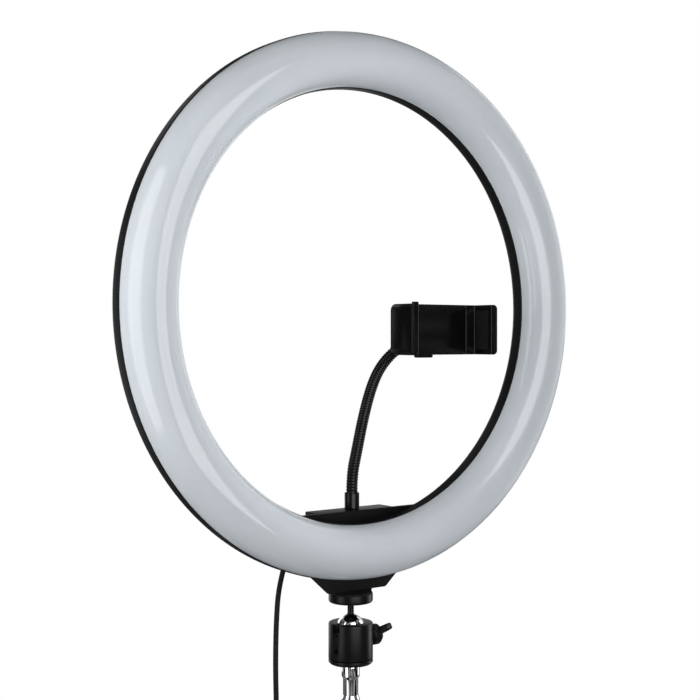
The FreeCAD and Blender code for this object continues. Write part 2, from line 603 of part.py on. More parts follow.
def make_stem():
    shape = turned([(0, BALL_CENTRE.z), (STEM_R, BALL_CENTRE.z), (STEM_R, PLATFORM_BOTTOM),
                    (COLLAR_R, PLATFORM_BOTTOM), (COLLAR_R, PLATFORM_BOTTOM + COLLAR_HEIGHT),
                    (QUARTER_INCH_R, PLATFORM_BOTTOM + COLLAR_HEIGHT), (QUARTER_INCH_R, 94.2),
                    (QUARTER_INCH_R - 0.8, 95), (0, 95)])
    return shape.cut(ball(BALL_CENTRE, BALL_R + RUNNING_GAP))


def make_platform():
    shape = turned([(0, PLATFORM_BOTTOM), (PLATFORM_R - 1.6, PLATFORM_BOTTOM),
                    (PLATFORM_R - 0.5, PLATFORM_BOTTOM + 0.5), (PLATFORM_R, PLATFORM_BOTTOM + 1.6),
                    (PLATFORM_R, PLATFORM_TOP), (0, PLATFORM_TOP)])
    shape = shape.cut(rod(V(0, 0, 70), V(0, 0, PLATFORM_BOTTOM + COLLAR_HEIGHT + RUNNING_GAP),
                          COLLAR_R + RUNNING_GAP))
    return shape.cut(rod(V(0, 0, 70), V(0, 0, 90), QUARTER_INCH_R + RUNNING_GAP))


def make_knob():
    hub = turned([(KNOB_SCREW_R, 0), (5.6, 0), (KNOB_HUB_R, 1.4), (KNOB_HUB_R, 6.5),
                  (KNOB_HUB_R - 1.4, KNOB_HUB_END - KNOB_START - 0.5),
                  (KNOB_HUB_R - 2.4, KNOB_HUB_END - KNOB_START), (0, KNOB_HUB_END - KNOB_START),
                  (0, 6), (KNOB_SCREW_R, 6)], V(KNOB_START, 0, KNOB_HEIGHT), X_AXIS)
    wing = [(17.2, 0), (19.5, 7.4), (23.5, 11.4), (26.2, 12.6), (27.9, 11.4), (27.4, 8.6),
            (25.0, 4.5), (23.0, 0)]
    outline = wing + [(x, -height) for x, height in reversed(wing[1:-1])]
    wings = prism(outline, -2.1, 2.1)
    rim = [edge for edge in wings.Edges if abs(abs(edge.CenterOfMass.y) - 2.1) < 0.01]
    wings = wings.makeFillet(1.1, rim)
    wings.rotate(V(0, 0, 0), X_AXIS, 90 - KNOB_WING_TILT)
    wings.translate(V(0, 0, KNOB_HEIGHT))
    bore = rod(V(10, 0, KNOB_HEIGHT), V(KNOB_START + 6, 0, KNOB_HEIGHT), KNOB_SCREW_R)
    return hub.fuse(wings).cut(bore).removeSplitter()


def make_pressure_pad():
    shape = rod(V(5, 0, KNOB_HEIGHT), V(10.9, 0, KNOB_HEIGHT), KNOB_SCREW_R)
    return shape.cut(ball(BALL_CENTRE, BALL_R + RUNNING_GAP))


def make_stud():
    top = CUP_BOTTOM
    shape = turned([(0, -STUD_HALF_SHANK - 1), (STUD_R - 1, -STUD_HALF_SHANK - 1),
                    (STUD_R, -STUD_HALF_SHANK), (STUD_R, STUD_HALF_SHANK),
                    (STUD_NECK_R, 14.5), (STUD_NECK_R, 25.6), (STUD_R, 27.3), (STUD_R, top - 0.5),
                    (STUD_R - 0.5, top), (QUARTER_INCH_R, top), (QUARTER_INCH_R, top + 8.2),
                    (QUARTER_INCH_R - 0.8, top + 9), (0, top + 9)])
    socket = rod(V(0, 0, -STUD_HALF_SHANK - 1), V(0, 0, STUD_SOCKET_DEPTH - STUD_HALF_SHANK - 1),
                 STUD_SOCKET_R)
    return shape.cut(socket)


save("ball", ball(BALL_CENTRE, BALL_R))
save("ball_stem", make_stem())
save("platform_disc", make_platform())
save("platform_pad", ring(V(0, 0, PLATFORM_TOP), Z_AXIS, QUARTER_INCH_R + RUNNING_GAP,
                          PLATFORM_R - 0.4, PAD_TOP - PLATFORM_TOP))
save("ball_housing", make_housing())
save("ball_seat", make_seat())
save("pressure_pad", make_pressure_pad())
save("base_plate", make_base_plate())
save("base_insert", ring(V(0, 0, CUP_BOTTOM), Z_AXIS, QUARTER_INCH_R, 5.0, 9.5))
save("set_screw", make_set_screw())
save("lock_knob", make_knob())
save("knob_screw", rod(V(11, 0, KNOB_HEIGHT), V(KNOB_START + 6, 0, KNOB_HEIGHT), KNOB_SCREW_R))
save("stand_stud", make_stud())


# --- supply cord, hand control and plug ---------------------------------------------------
def make_coil():
    return Part.makeTorus(COIL_MEAN_R, COIL_SECTION_R, COIL_CENTRE, Y_AXIS)


def make_link(coil):
    x, y = CORD_ROUTE[-1].x, CORD_ROUTE[-1].y
    return rod(V(x, y, LINK_TOP), V(x, y, LINK_BOTTOM), CORD_R).cut(coil)


def make_tie(coil, plug):
    """A strap round the coil's left side and the plug that lies behind it."""
    x, front, back = COIL_CENTRE.x - COIL_MEAN_R, COIL_CENTRE.y - COIL_SECTION_R, CORD_TAIL[-1].y + 4
    half = [(4.0, front - 0.1), (COIL_SECTION_R + 0.2, front + 3.6), (8.1, back - 8.1), (8.1, back + 0.1)]
    corners = [V(x + width, y, TIE_LOW) for width, y in half]
    corners += [V(x - width, y, TIE_LOW) for width, y in reversed(half)]
    inner = Part.makePolygon(corners + corners[:1])
    outer = inner.makeOffset2D(TIE_THICKNESS)
    height = V(0, 0, TIE_HEIGHT)
    band = Part.Face(outer).extrude(height).cut(Part.Face(inner).extrude(height))
    return band.cut([coil, plug])


def rounded_case(low, high):
    shape = box(low, high)
    corners = [edge for edge in shape.Edges
               if abs(edge.CenterOfMass.y - (low.y + high.y) / 2) < 0.01]
    shape = shape.makeFillet(5.0, corners)
    faces = [edge for edge in shape.Edges
             if min(abs(edge.CenterOfMass.y - low.y), abs(edge.CenterOfMass.y - high.y)) < 0.01]
    return shape.makeFillet(1.4, faces)


def remote_halves():
    wall = V(REMOTE_WALL, REMOTE_WALL, REMOTE_WALL)
    shell = rounded_case(REMOTE_LOW, REMOTE_HIGH).cut(box(REMOTE_LOW + wall, REMOTE_HIGH - wall))
    x, y = CORD_ROUTE[-1].x, CORD_ROUTE[-1].y
    shell = shell.cut(rod(V(x, y, REMOTE_LOW.z - 1), V(x, y, REMOTE_HIGH.z + 1), 2.6))
    split = (REMOTE_LOW.y + REMOTE_HIGH.y) / 2
    front = shell.common(box(REMOTE_LOW - wall, V(REMOTE_HIGH.x + 2, split, REMOTE_HIGH.z + 2)))
    back = shell.common(box(V(REMOTE_LOW.x - 2, split, REMOTE_LOW.z - 2), REMOTE_HIGH + wall))
    for height in BUTTONS.values():
        front = front.cut(rod(V(x, REMOTE_LOW.y - 2, height), V(x, REMOTE_LOW.y + 2, height),
                              BUTTON_R + 0.15))
    return front, back


def make_button(height):
    x = CORD_ROUTE[-1].x
    front = REMOTE_LOW.y - BUTTON_PROUD
    cap = Part.makeCylinder(BUTTON_R, REMOTE_LOW.y + REMOTE_WALL - front + 0.3, V(x, front, height),
                            Y_AXIS)
    rim = [edge for edge in cap.Edges if abs(edge.CenterOfMass.y - front) < 0.01]
    cap = cap.makeFillet(0.5, rim)
    flange_y = REMOTE_LOW.y + REMOTE_WALL + 0.1
    return cap.fuse(Part.makeCylinder(BUTTON_R + 0.9, 0.6, V(x, flange_y, height), Y_AXIS))


def make_remote_boots():
    x, y = CORD_ROUTE[-1].x, CORD_ROUTE[-1].y
    boots = []
    for start, way in ((REMOTE_HIGH.z - REMOTE_WALL, 1), (REMOTE_LOW.z + REMOTE_WALL, -1)):
        root, lip = V(x, y, start), V(x, y, start + way * REMOTE_WALL)
        boots.append(rod(root, lip, 2.6).fuse(taper(lip, lip + V(0, 0, way * REMOTE_BOOT), 3.4, 2.2)))
    return Part.makeCompound(boots)


coil_solid = make_coil()
upper_cord = tube("supply_cord", CORD_ROUTE, CORD_R).cut(coil_solid)
tail_cord = tube("plug_cord", CORD_TAIL, CORD_R)
save("supply_cord", upper_cord)
save("cord_coil", coil_solid)
save("remote_cord", make_link(coil_solid))
save("plug_cord", tail_cord)
for half_name, half in zip(("remote_front", "remote_back"), remote_halves()):
    save(half_name, half)
save("remote_boots", make_remote_boots())
board_x = CORD_ROUTE[-1].x
save("remote_board", box(V(board_x - 8.5, 10.2, -122), V(board_x + 8.5, 11.4, -64)))
for button_name, button_height in BUTTONS.items():
    save(button_name, make_button(button_height))

plug_foot = CORD_TAIL[-1]
plug_body = box(plug_foot + V(-8, -4, 0), plug_foot + V(8, 4, PLUG_LENGTH))
plug_body = plug_body.makeFillet(1.8, [edge for edge in plug_body.Edges
                                       if abs(edge.CenterOfMass.z - plug_foot.z) > 0.01])
save("plug_body", plug_body)
save("cord_tie", make_tie(coil_solid, plug_body))
shell_low = plug_foot + V(-6, -2.25, PLUG_LENGTH)
shell_high = plug_foot + V(6, 2.25, PLUG_LENGTH + PLUG_SHELL_LENGTH)
thin = V(0.35, 0.35, 0)
save("plug_shell", box(shell_low, shell_high).cut(box(shell_low + thin + V(0, 0, 1),
                                                      shell_high - thin + V(0, 0, 1))))
save("plug_tongue", box(shell_low + V(0.5, 0.4, 1), shell_high + V(-0.5, -2.2, -1)))
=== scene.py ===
import json
import math

import bmesh
import bpy
from mathutils import Matrix, Vector

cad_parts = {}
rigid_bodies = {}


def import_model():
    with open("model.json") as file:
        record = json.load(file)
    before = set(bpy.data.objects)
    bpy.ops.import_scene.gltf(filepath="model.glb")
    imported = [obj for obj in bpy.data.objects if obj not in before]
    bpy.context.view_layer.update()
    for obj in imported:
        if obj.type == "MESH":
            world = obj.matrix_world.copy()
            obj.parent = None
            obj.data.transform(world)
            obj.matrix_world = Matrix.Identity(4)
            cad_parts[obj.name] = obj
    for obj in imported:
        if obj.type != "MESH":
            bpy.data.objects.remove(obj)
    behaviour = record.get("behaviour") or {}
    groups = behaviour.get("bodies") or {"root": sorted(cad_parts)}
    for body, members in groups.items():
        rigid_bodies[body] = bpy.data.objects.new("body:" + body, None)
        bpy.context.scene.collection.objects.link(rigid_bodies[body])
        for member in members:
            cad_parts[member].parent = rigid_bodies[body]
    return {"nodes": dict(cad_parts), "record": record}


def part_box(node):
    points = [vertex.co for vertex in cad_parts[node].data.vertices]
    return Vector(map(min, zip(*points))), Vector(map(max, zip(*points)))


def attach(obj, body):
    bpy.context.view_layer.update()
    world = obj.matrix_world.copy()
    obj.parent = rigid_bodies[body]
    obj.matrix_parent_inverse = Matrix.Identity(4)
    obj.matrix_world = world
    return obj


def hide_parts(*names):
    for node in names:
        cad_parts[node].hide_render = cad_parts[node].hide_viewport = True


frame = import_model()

# The looks of a ring light head with a gooseneck phone holder on a mini ball head.
# Lengths are in millimetres up to the helpers, which scale them to metres.

scene = bpy.context.scene
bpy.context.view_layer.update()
MM = 0.001
TINY = 1e-6



def corners(node):
    """A CAD node's lowest and highest corners in millimetres, to the CAD's hundredths."""
    return [[round(c / MM, 2) for c in corner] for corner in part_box(node)]


def centre(node):
    """The middle of a CAD node's box, in millimetres."""
    return [(low + high) / 2 for low, high in zip(*corners(node))]


housing_low, housing_high = corners("rear_housing")
RING_R, HOUSING_DEPTH = housing_high[0], housing_high[1] - housing_low[1]
RING_CENTRE = Vector((0, housing_low[1], housing_high[2] - RING_R))
FRONT, BACK = Vector((0, -1, 0)), Vector((0, 1, 0))
UP, RIGHT = Vector((0, 0, 1)), Vector((1, 0, 0))


# --- cords --------------------------------------------------------------------------------
CORD_R = 1.75
CORD_ROUTE = [(-52.7, 0.5, 109), (-52.7, 8, 93), (-52.7, 11, 70), (-53, 11.6, 41),
              (-52.5, 11.2, 13), (-52.7, 11.4, 1)]
COIL_CENTRE = (-73.2, 11.4, -20)
COIL_MEAN_R = 20.5
COIL_SLOT_R = 4.58                    # the turns lie round this circle in the coil's section
COIL_SLOTS = [0, -45, -90, -135, 180, None, 135, 90, 45]
COIL_STEPS = 16
COIL_START, COIL_END = 30.0, -30.0    # where the cord joins and leaves the coil, in degrees
CHANGE_FROM = -270.0                  # a turn moves to its next slot between here and the start
LINK = [(-52.7, 11.4, -42), (-52.7, 11.4, -50)]      # then it runs on through the hand control
CORD_TAIL = [(-52.7, 11.4, -136), (-52.7, 11.4, -152), (-64.7, 13.8, -164), (-81.7, 18.4, -164),
             (-93.7, 21.6, -152), (-94.3, 22.5, -124), (-93.5, 22.2, -94), (-93.7, 22.3, -64),
             (-93.7, 22.3, -40)]


def slot_offset(slot):
    """A turn's place in the coil's section: outwards from the axis, and backwards."""
    if slot is None:
        return Vector((0, 0))
    angle = math.radians(slot)
    return Vector((math.cos(angle), math.sin(angle))) * COIL_SLOT_R


def coil_points():
    """Control points round the coil, clockwise from the right, through its slots in order."""
    step = 360 / COIL_STEPS
    inset = math.cos(math.radians(step / 2))
    points, last = [], 360 * (len(COIL_SLOTS) - 1) - COIL_END
    travelled = -COIL_START
    while travelled < last + 0.01:
        turn, into = divmod(travelled + COIL_START, 360)
        turn = min(int(turn), len(COIL_SLOTS) - 1)
        here = slot_offset(COIL_SLOTS[turn])
        change = (into - COIL_START + CHANGE_FROM) / (360 + CHANGE_FROM)
        if change > 0 and turn + 1 < len(COIL_SLOTS):
            here = here.lerp(slot_offset(COIL_SLOTS[turn + 1]), min(1, change))
        radius = (COIL_MEAN_R + here.x) / inset
        angle = math.radians(-travelled)
        points.append((COIL_CENTRE[0] + radius * math.cos(angle), COIL_CENTRE[1] + here.y,
                       COIL_CENTRE[2] + radius * math.sin(angle)))
        travelled += step
    return points


def route(name, points, resolution, radius=0.0):
    """A NURBS curve through space with these control points."""
    curve = bpy.data.curves.new(name, "CURVE")
    curve.dimensions = "3D"
    curve.resolution_u = resolution
    spline = curve.splines.new("NURBS")
    spline.points.add(len(points) - 1)
    for target, point in zip(spline.points, points):
        target.co = (*(Vector(point) * MM), 1)
    spline.order_u = 3
    spline.use_endpoint_u = True
    if radius:
        curve.bevel_depth = radius * MM
        curve.bevel_resolution = 5
        curve.use_fill_caps = True
    piece = bpy.data.objects.new(name, curve)
    scene.collection.objects.link(piece)
    return piece


supply_lead = route("supply_lead", CORD_ROUTE + coil_points() + LINK + CORD_TAIL, 6, CORD_R)

# --- camera -------------------------------------------------------------------------------
VIEW_AZIMUTH, VIEW_ELEVATION = math.radians(-37), math.radians(0.55)
VIEW_DISTANCE = 846.0
VIEW_ASIDE, VIEW_DOWN = -10.38, -28.5


def viewpoint():
    """The camera's place, in metres, and the way from the object back to it."""
    back = Vector((math.sin(VIEW_AZIMUTH) * math.cos(VIEW_ELEVATION),
                   -math.cos(VIEW_AZIMUTH) * math.cos(VIEW_ELEVATION),
                   math.sin(VIEW_ELEVATION)))
    right = Vector((math.cos(VIEW_AZIMUTH), math.sin(VIEW_AZIMUTH), 0))
    up = back.cross(right)
    place = RING_CENTRE + right * VIEW_ASIDE + up * VIEW_DOWN + back * VIEW_DISTANCE
    return place * MM, back


camera_data = bpy.data.cameras.new("camera")
camera_data.lens = 65.85
camera_data.sensor_width = 36
camera_data.clip_start = 0.01
camera = bpy.data.objects.new("camera", camera_data)
scene.collection.objects.link(camera)
camera.location, view_back = viewpoint()
camera.rotation_mode = "QUATERNION"
camera.rotation_quaternion = (-view_back).to_track_quat("-Z", "Y")
scene.camera = camera


# --- materials ----------------------------------------------------------------------------
NOISE_ROUGHNESS = 0.55
COLOUR_STOPS = (0.35, 0.65)           # a colour ramp's ends, within what a noise gives
NOISE_RANGE = (0.3, 0.7)              # what a noise mostly keeps between
DRIFT_SCALE = 60.0                    # patches of colour per metre


def shader_of(name):
    """A new material, its node tree and its shader."""
    made = bpy.data.materials.new(name)
    made.use_nodes = True
    tree = made.node_tree
    return made, tree, tree.nodes["Principled BSDF"]


def noise(tree, scale, detail, stretch=(1, 1, 1)):
    """Noise over the object's own coordinates; scale is in features per metre."""
    where = tree.nodes.new("ShaderNodeTexCoord")
    mapping = tree.nodes.new("ShaderNodeMapping")
    mapping.inputs["Scale"].default_value = stretch
    texture = tree.nodes.new("ShaderNodeTexNoise")
    texture.inputs["Scale"].default_value = scale
    texture.inputs["Detail"].default_value = detail
    texture.inputs["Roughness"].default_value = NOISE_ROUGHNESS
    tree.links.new(where.outputs["Object"], mapping.inputs["Vector"])
    tree.links.new(mapping.outputs["Vector"], texture.inputs["Vector"])
    return texture.outputs["Fac"]


def ramp(tree, source, low, high):
    """A colour ramp over a noise, from colour low to colour high."""
    node = tree.nodes.new("ShaderNodeValToRGB")
    for stop, place, colour in zip(node.color_ramp.elements, COLOUR_STOPS, (low, high)):
        stop.position = place
        stop.color = (*colour, 1)
    tree.links.new(source, node.inputs["Fac"])
    return node.outputs["Color"]


def span(tree, source, low, high):
    """A noise as a value from low to high."""
    node = tree.nodes.new("ShaderNodeMapRange")
    node.inputs["From Min"].default_value, node.inputs["From Max"].default_value = NOISE_RANGE
    node.inputs["To Min"].default_value = low
    node.inputs["To Max"].default_value = high
    tree.links.new(source, node.inputs["Value"])
    return node.outputs["Result"]


def bump(tree, shader, source, depth, under=None):
    """Relief of this depth from a noise, over the relief of another bump node."""
    node = tree.nodes.new("ShaderNodeBump")
    node.inputs["Distance"].default_value = depth * MM
    node.inputs["Strength"].default_value = 1.0
    tree.links.new(source, node.inputs["Height"])
    if under:
        tree.links.new(under.outputs["Normal"], node.inputs["Normal"])
    tree.links.new(node.outputs["Normal"], shader.inputs["Normal"])
    return node


def set_sockets(node, sockets):
    """Give a node's inputs their values; a socket's name has _ for its spaces."""
    for socket, value in sockets.items():
        node.inputs[socket.replace("_", " ")].default_value = value


def plain_finish(name, colour, vary, rough, grain, depth, metallic=0.0, **sockets):
    """Colour that drifts by vary over patches, roughness from rough[0] to rough[1], fine grain."""
    made, tree, shader = shader_of(name)
    drift = noise(tree, DRIFT_SCALE, 4.0)
    fine = noise(tree, grain, 4.0)
    low = tuple(max(0.0, c * (1 - vary)) for c in colour)
    high = tuple(min(1.0, c * (1 + vary)) for c in colour)
    tree.links.new(ramp(tree, drift, low, high), shader.inputs["Base Color"])
    tree.links.new(span(tree, fine, *rough), shader.inputs["Roughness"])
    bump(tree, shader, fine, depth)
    set_sockets(shader, {"Metallic": metallic, **sockets})
    return made


def milky_finish(name):
    """Translucent white acrylic: cloudy body, soft gloss, very slight orange peel."""
    made, tree, shader = shader_of(name)
    cloud = noise(tree, 22.0, 3.0)
    peel = noise(tree, 340.0, 2.0)
    fine = noise(tree, 5200.0, 2.0)
    tree.links.new(ramp(tree, cloud, (0.645, 0.690, 0.735), (0.670, 0.715, 0.757)),
                   shader.inputs["Base Color"])
    tree.links.new(span(tree, peel, 0.10, 0.15), shader.inputs["Roughness"])
    bump(tree, shader, peel, 0.006, under=bump(tree, shader, fine, 0.0012))
    set_sockets(shader, {"Specular_IOR_Level": 0.5, "Subsurface_Weight": 0.12,
                         "Subsurface_Radius": (0.004, 0.004, 0.004), "Subsurface_Scale": 1.0})
    return made


def turned_finish(name, colour, rough, lines, depth):
    """Metal turned on a lathe about a vertical axis: fine rings along Z."""
    made, tree, shader = shader_of(name)
    rings = noise(tree, lines, 2.0, (0.02, 0.02, 1))
    drift = noise(tree, 90.0, 3.0)
    low = tuple(c * 0.95 for c in colour)
    tree.links.new(ramp(tree, drift, low, colour), shader.inputs["Base Color"])
    tree.links.new(span(tree, rings, *rough), shader.inputs["Roughness"])
    bump(tree, shader, rings, depth)
    set_sockets(shader, {"Metallic": 1.0})
    return made


def woven_finish(name, colour, pitch):
    """A napped hook-and-loop strap: crossed threads with a fuzzy face."""
    made, tree, shader = shader_of(name)
    threads = noise(tree, 1000 / pitch, 2.0, (1, 1, 0.45))
    nap = noise(tree, 5200.0, 3.0)
    low = tuple(c * 0.6 for c in colour)
    tree.links.new(ramp(tree, threads, low, colour), shader.inputs["Base Color"])
    tree.links.new(span(tree, nap, 0.85, 1.0), shader.inputs["Roughness"])
    bump(tree, shader, threads, 0.12, under=bump(tree, shader, nap, 0.04))
    set_sockets(shader, {"Sheen_Weight": 0.3})
    return made


MATERIALS = {
    "diffuser_milk": milky_finish("diffuser_milk"),
    "black_housing": plain_finish("black_housing", (0.0040, 0.0042, 0.0045), 0.15, (0.34, 0.46),
                                  2600, 0.008, Specular_IOR_Level=0.18),
    "board_white": plain_finish("board_white", (0.78, 0.79, 0.79), 0.04, (0.4, 0.5), 1800, 0.01),
    "led_warm": plain_finish("led_warm", (0.85, 0.62, 0.2), 0.1, (0.3, 0.4), 2400, 0.01),
    "led_cool": plain_finish("led_cool", (0.88, 0.8, 0.4), 0.1, (0.3, 0.4), 2400, 0.01),
    "zinc_steel": plain_finish("zinc_steel", (0.58, 0.58, 0.60), 0.08, (0.22, 0.36), 3000, 0.004,
                               metallic=1.0),
    "brass": plain_finish("brass", (0.70, 0.50, 0.20), 0.08, (0.25, 0.38), 3000, 0.005,
                          metallic=1.0),
    "neck_black": plain_finish("neck_black", (0.0032, 0.0032, 0.0035), 0.2, (0.18, 0.28),
                               3200, 0.004, Specular_IOR_Level=0.26),
    "clamp_plastic": plain_finish("clamp_plastic", (0.0030, 0.0033, 0.0035), 0.15, (0.15, 0.23),
                                  3000, 0.003, Specular_IOR_Level=0.22),
    "grip_rubber": plain_finish("grip_rubber", (0.0045, 0.0045, 0.0048), 0.2, (0.7, 0.85),
                                2200, 0.03, Specular_IOR_Level=0.2),
    "nylon": plain_finish("nylon", (0.72, 0.70, 0.62), 0.05, (0.4, 0.5), 1500, 0.01),
    "head_black": plain_finish("head_black", (0.0034, 0.0036, 0.0040), 0.15, (0.26, 0.38),
                               5200, 0.004, Specular_IOR_Level=0.17),
    "knob_plastic": plain_finish("knob_plastic", (0.0045, 0.0045, 0.0050), 0.15, (0.30, 0.42),
                                 2600, 0.008, Specular_IOR_Level=0.25),
    "ball_chrome": turned_finish("ball_chrome", (0.82, 0.83, 0.85), (0.04, 0.09), 9000, 0.0003),
    "stem_black": turned_finish("stem_black", (0.014, 0.014, 0.013), (0.18, 0.28), 6000, 0.001),
    "cord_black": plain_finish("cord_black", (0.0045, 0.0045, 0.0048), 0.2, (0.50, 0.64),
                               2200, 0.010, Specular_IOR_Level=0.22),
    "tie_black": woven_finish("tie_black", (0.018, 0.018, 0.020), 0.6),
    "remote_plastic": plain_finish("remote_plastic", (0.012, 0.012, 0.013), 0.15, (0.42, 0.55),
                                   2600, 0.010),
    "button_rubber": plain_finish("button_rubber", (0.16, 0.16, 0.17), 0.08, (0.6, 0.75),
                                  2200, 0.01),
    "circuit_green": plain_finish("circuit_green", (0.02, 0.14, 0.06), 0.1, (0.3, 0.4),
                                  1200, 0.01),
    "plug_tongue_white": plain_finish("plug_tongue_white", (0.8, 0.8, 0.79), 0.04, (0.35, 0.45),
                                      1500, 0.005),
}

for part in frame["record"]["subparts"]:
    node = frame["nodes"][part["node"]]
    node.data.materials.clear()
    node.data.materials.append(MATERIALS[part["material_slot"]])


# --- mesh helpers -------------------------------------------------------------------------
def keep(name, mesh, body, slot, *nodes, angle=32):
    """Turn a mesh into a finished piece that rides on a body and stands for CAD nodes."""
    bm = bmesh.new()
    bm.from_mesh(mesh)
    bmesh.ops.recalc_face_normals(bm, faces=bm.faces)
    bm.to_mesh(mesh)
    bm.free()
    mesh.shade_smooth()
    mesh.set_sharp_from_angle(angle=math.radians(angle))
    mesh.materials.clear()
    mesh.materials.append(MATERIALS[slot])
    piece = bpy.data.objects.new(name, mesh)
    scene.collection.objects.link(piece)
    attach(piece, body)
    if nodes:
        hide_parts(*nodes)
    return piece


def rounded(points, closed=True, steps=5):
    """Fillet the corners of a 2-D outline; each point is (x, y) or (x, y, radius)."""
    out, count = [], len(points)
    for index, point in enumerate(points):
        here = Vector(point[:2])
        if len(point) < 3 or (not closed and index in (0, count - 1)):
            out.append(here)
            continue
        before = (Vector(points[index - 1][:2]) - here).normalized()
        after = (Vector(points[(index + 1) % count][:2]) - here).normalized()
        half = before.angle(after) / 2
        centre = here + (before + after).normalized() * (point[2] / math.sin(half))
        reach = point[2] / math.tan(half)
        start, end = here + before * reach - centre, here + after * reach - centre
        turn = start.angle(end)
        for step in range(steps + 1):
            share = step / steps
            out.append(centre + (start * math.sin((1 - share) * turn)
                                 + end * math.sin(share * turn)) / math.sin(turn))
    return out


def arc(centre, radius, start, end, steps):
    """Points on a 2-D arc, angles in degrees."""
    angles = [math.radians(start + (end - start) * k / steps) for k in range(steps + 1)]
    return [Vector((centre[0] + radius * math.cos(a), centre[1] + radius * math.sin(a)))
            for a in angles]


def lathe(profile, origin=(0, 0, 0), axis=UP, steps=96, closed=False, ribs=None):
    """Revolve (radius, height) points; ribs(angle, radius) may change a point's radius."""
    turn = UP.rotation_difference(Vector(axis)).to_matrix()
    origin, bm, rows = Vector(origin), bmesh.new(), []
    for radius, height in profile:
        count = 1 if radius < TINY else steps
        row = []
        for index in range(count):
            angle = 2 * math.pi * index / steps
            reach = ribs(angle, radius) if ribs else radius
            point = Vector((reach * math.cos(angle), reach * math.sin(angle), height))
            row.append(bm.verts.new((origin + turn @ point) * MM))
        rows.append(row)
    pairs = list(zip(rows, rows[1:] + rows[:1])) if closed else list(zip(rows, rows[1:]))
    for low, high in pairs:
        for index in range(steps):
            ahead = (index + 1) % steps
            corners = [low[index % len(low)], low[ahead % len(low)],
                       high[ahead % len(high)], high[index % len(high)]]
            corners = list(dict.fromkeys(corners))
            if len(corners) > 2:
                bm.faces.new(corners)
    return to_mesh(bm)


def to_mesh(bm):
    """The mesh of a bmesh, which is freed."""
    mesh = bpy.data.meshes.new("made")
    bmesh.ops.recalc_face_normals(bm, faces=bm.faces)
    bm.to_mesh(mesh)
    bm.free()
    return mesh


def prism(outline, low, high, bevel=0.0, ends=(True, True), segments=3, axis="Y"):
    """Extrude a 2-D outline between two depths, with its chosen rims rounded.

    The outline is (x, z) for axis Y and (x, y) for axis Z."""
    place = {"Y": lambda p, d: Vector((p[0], d, p[1])),
             "Z": lambda p, d: Vector((p[0], p[1], d))}[axis]
    bm = bmesh.new()
    loops = [[bm.verts.new(place(p, depth) * MM) for p in outline] for depth in (low, high)]
    count = len(outline)
    caps = [bm.faces.new(loop) for loop in loops]
    for index in range(count):
        ahead = (index + 1) % count
        bm.faces.new([loops[0][index], loops[0][ahead], loops[1][ahead], loops[1][index]])
    bmesh.ops.recalc_face_normals(bm, faces=bm.faces)
    if bevel:
        rims = [edge for cap, wanted in zip(caps, ends) if wanted for edge in cap.edges]
        bmesh.ops.bevel(bm, geom=rims, offset=bevel * MM, segments=segments, profile=0.5,
                        affect="EDGES", clamp_overlap=True)
    return to_mesh(bm)


def softened(mesh, width, segments=2, angle=40.0, test=None):
    """Round the mesh's edges that turn by more than angle and pass the test, if there is one."""
    bm = bmesh.new()
    bm.from_mesh(mesh)
    sharp = [edge for edge in bm.edges
             if len(edge.link_faces) == 2 and edge.calc_face_angle(0) > math.radians(angle)
             and (test is None or test(edge))]
    bmesh.ops.bevel(bm, geom=sharp, offset=width * MM, segments=segments, profile=0.5,
                    affect="EDGES", clamp_overlap=True)
    return to_mesh(bm)


def joined(*meshes):
    """The meshes as one mesh."""
    bm = bmesh.new()
    for mesh in meshes:
        bm.from_mesh(mesh)
    return to_mesh(bm)


def carved(mesh, *cutters):
    """Cut the cutter meshes out of a mesh."""
    for cutter in cutters:
        piece = bpy.data.objects.new("work", mesh)
        tool = bpy.data.objects.new("tool", cutter)
        for thing in (piece, tool):
            scene.collection.objects.link(thing)
        modifier = piece.modifiers.new("cut", "BOOLEAN")
        modifier.operation = "DIFFERENCE"
        modifier.solver = "EXACT"
        modifier.object = tool
        view = bpy.context.evaluated_depsgraph_get()
        mesh = bpy.data.meshes.new_from_object(piece.evaluated_get(view))
        for thing in (piece, tool):
            bpy.data.objects.remove(thing)
    return mesh


def block(low, high):
    """A plain block between two corners."""
    (x0, y0, z0), (x1, y1, z1) = low, high
    return prism([(x0, z0), (x1, z0), (x1, z1), (x0, z1)], y0, y1)


def round_block(low, high, corner, bevel, ends=(True, True)):
    """A block with rounded corners in the x-z view and rounded rims."""
    (x0, y0, z0), (x1, y1, z1) = low, high
    outline = rounded([(x0, z0, corner), (x1, z0, corner), (x1, z1, corner), (x0, z1, corner)],
                      steps=8)
    return prism(outline, y0, y1, bevel, ends)


def sweep(line, sides, shape):
    """A tube along points in metres; shape(distance, angle) gives its radius in mm."""
    bm, rings, along = bmesh.new(), [], 0.0
    normal = Vector((1, 0, 0))
    for index, point in enumerate(line):
        before, after = line[max(index - 1, 0)], line[min(index + 1, len(line) - 1)]
        way = (after - before).normalized()
        normal = (normal - way * normal.dot(way)).normalized()
        side = way.cross(normal)
        if index:
            along += (point - line[index - 1]).length / MM
        ring = []
        for step in range(sides):
            angle = 2 * math.pi * step / sides
            outwards = normal * math.cos(angle) + side * math.sin(angle)
            ring.append(bm.verts.new(point + outwards * (shape(along, angle) * MM)))
        rings.append(ring)
    for low, high in zip(rings, rings[1:]):
        for step in range(sides):
            ahead = (step + 1) % sides
            bm.faces.new([low[step], low[ahead], high[ahead], high[step]])
    bm.faces.new(rings[0])
    bm.faces.new(rings[-1])
    return to_mesh(bm)


def line_of(points, resolution):
    """Points along the NURBS curve that has these control points."""
    guide = route("guide", points, resolution)
    mesh = bpy.data.meshes.new_from_object(guide)
    line = [vertex.co.copy() for vertex in mesh.vertices]
    bpy.data.objects.remove(guide)
    return line


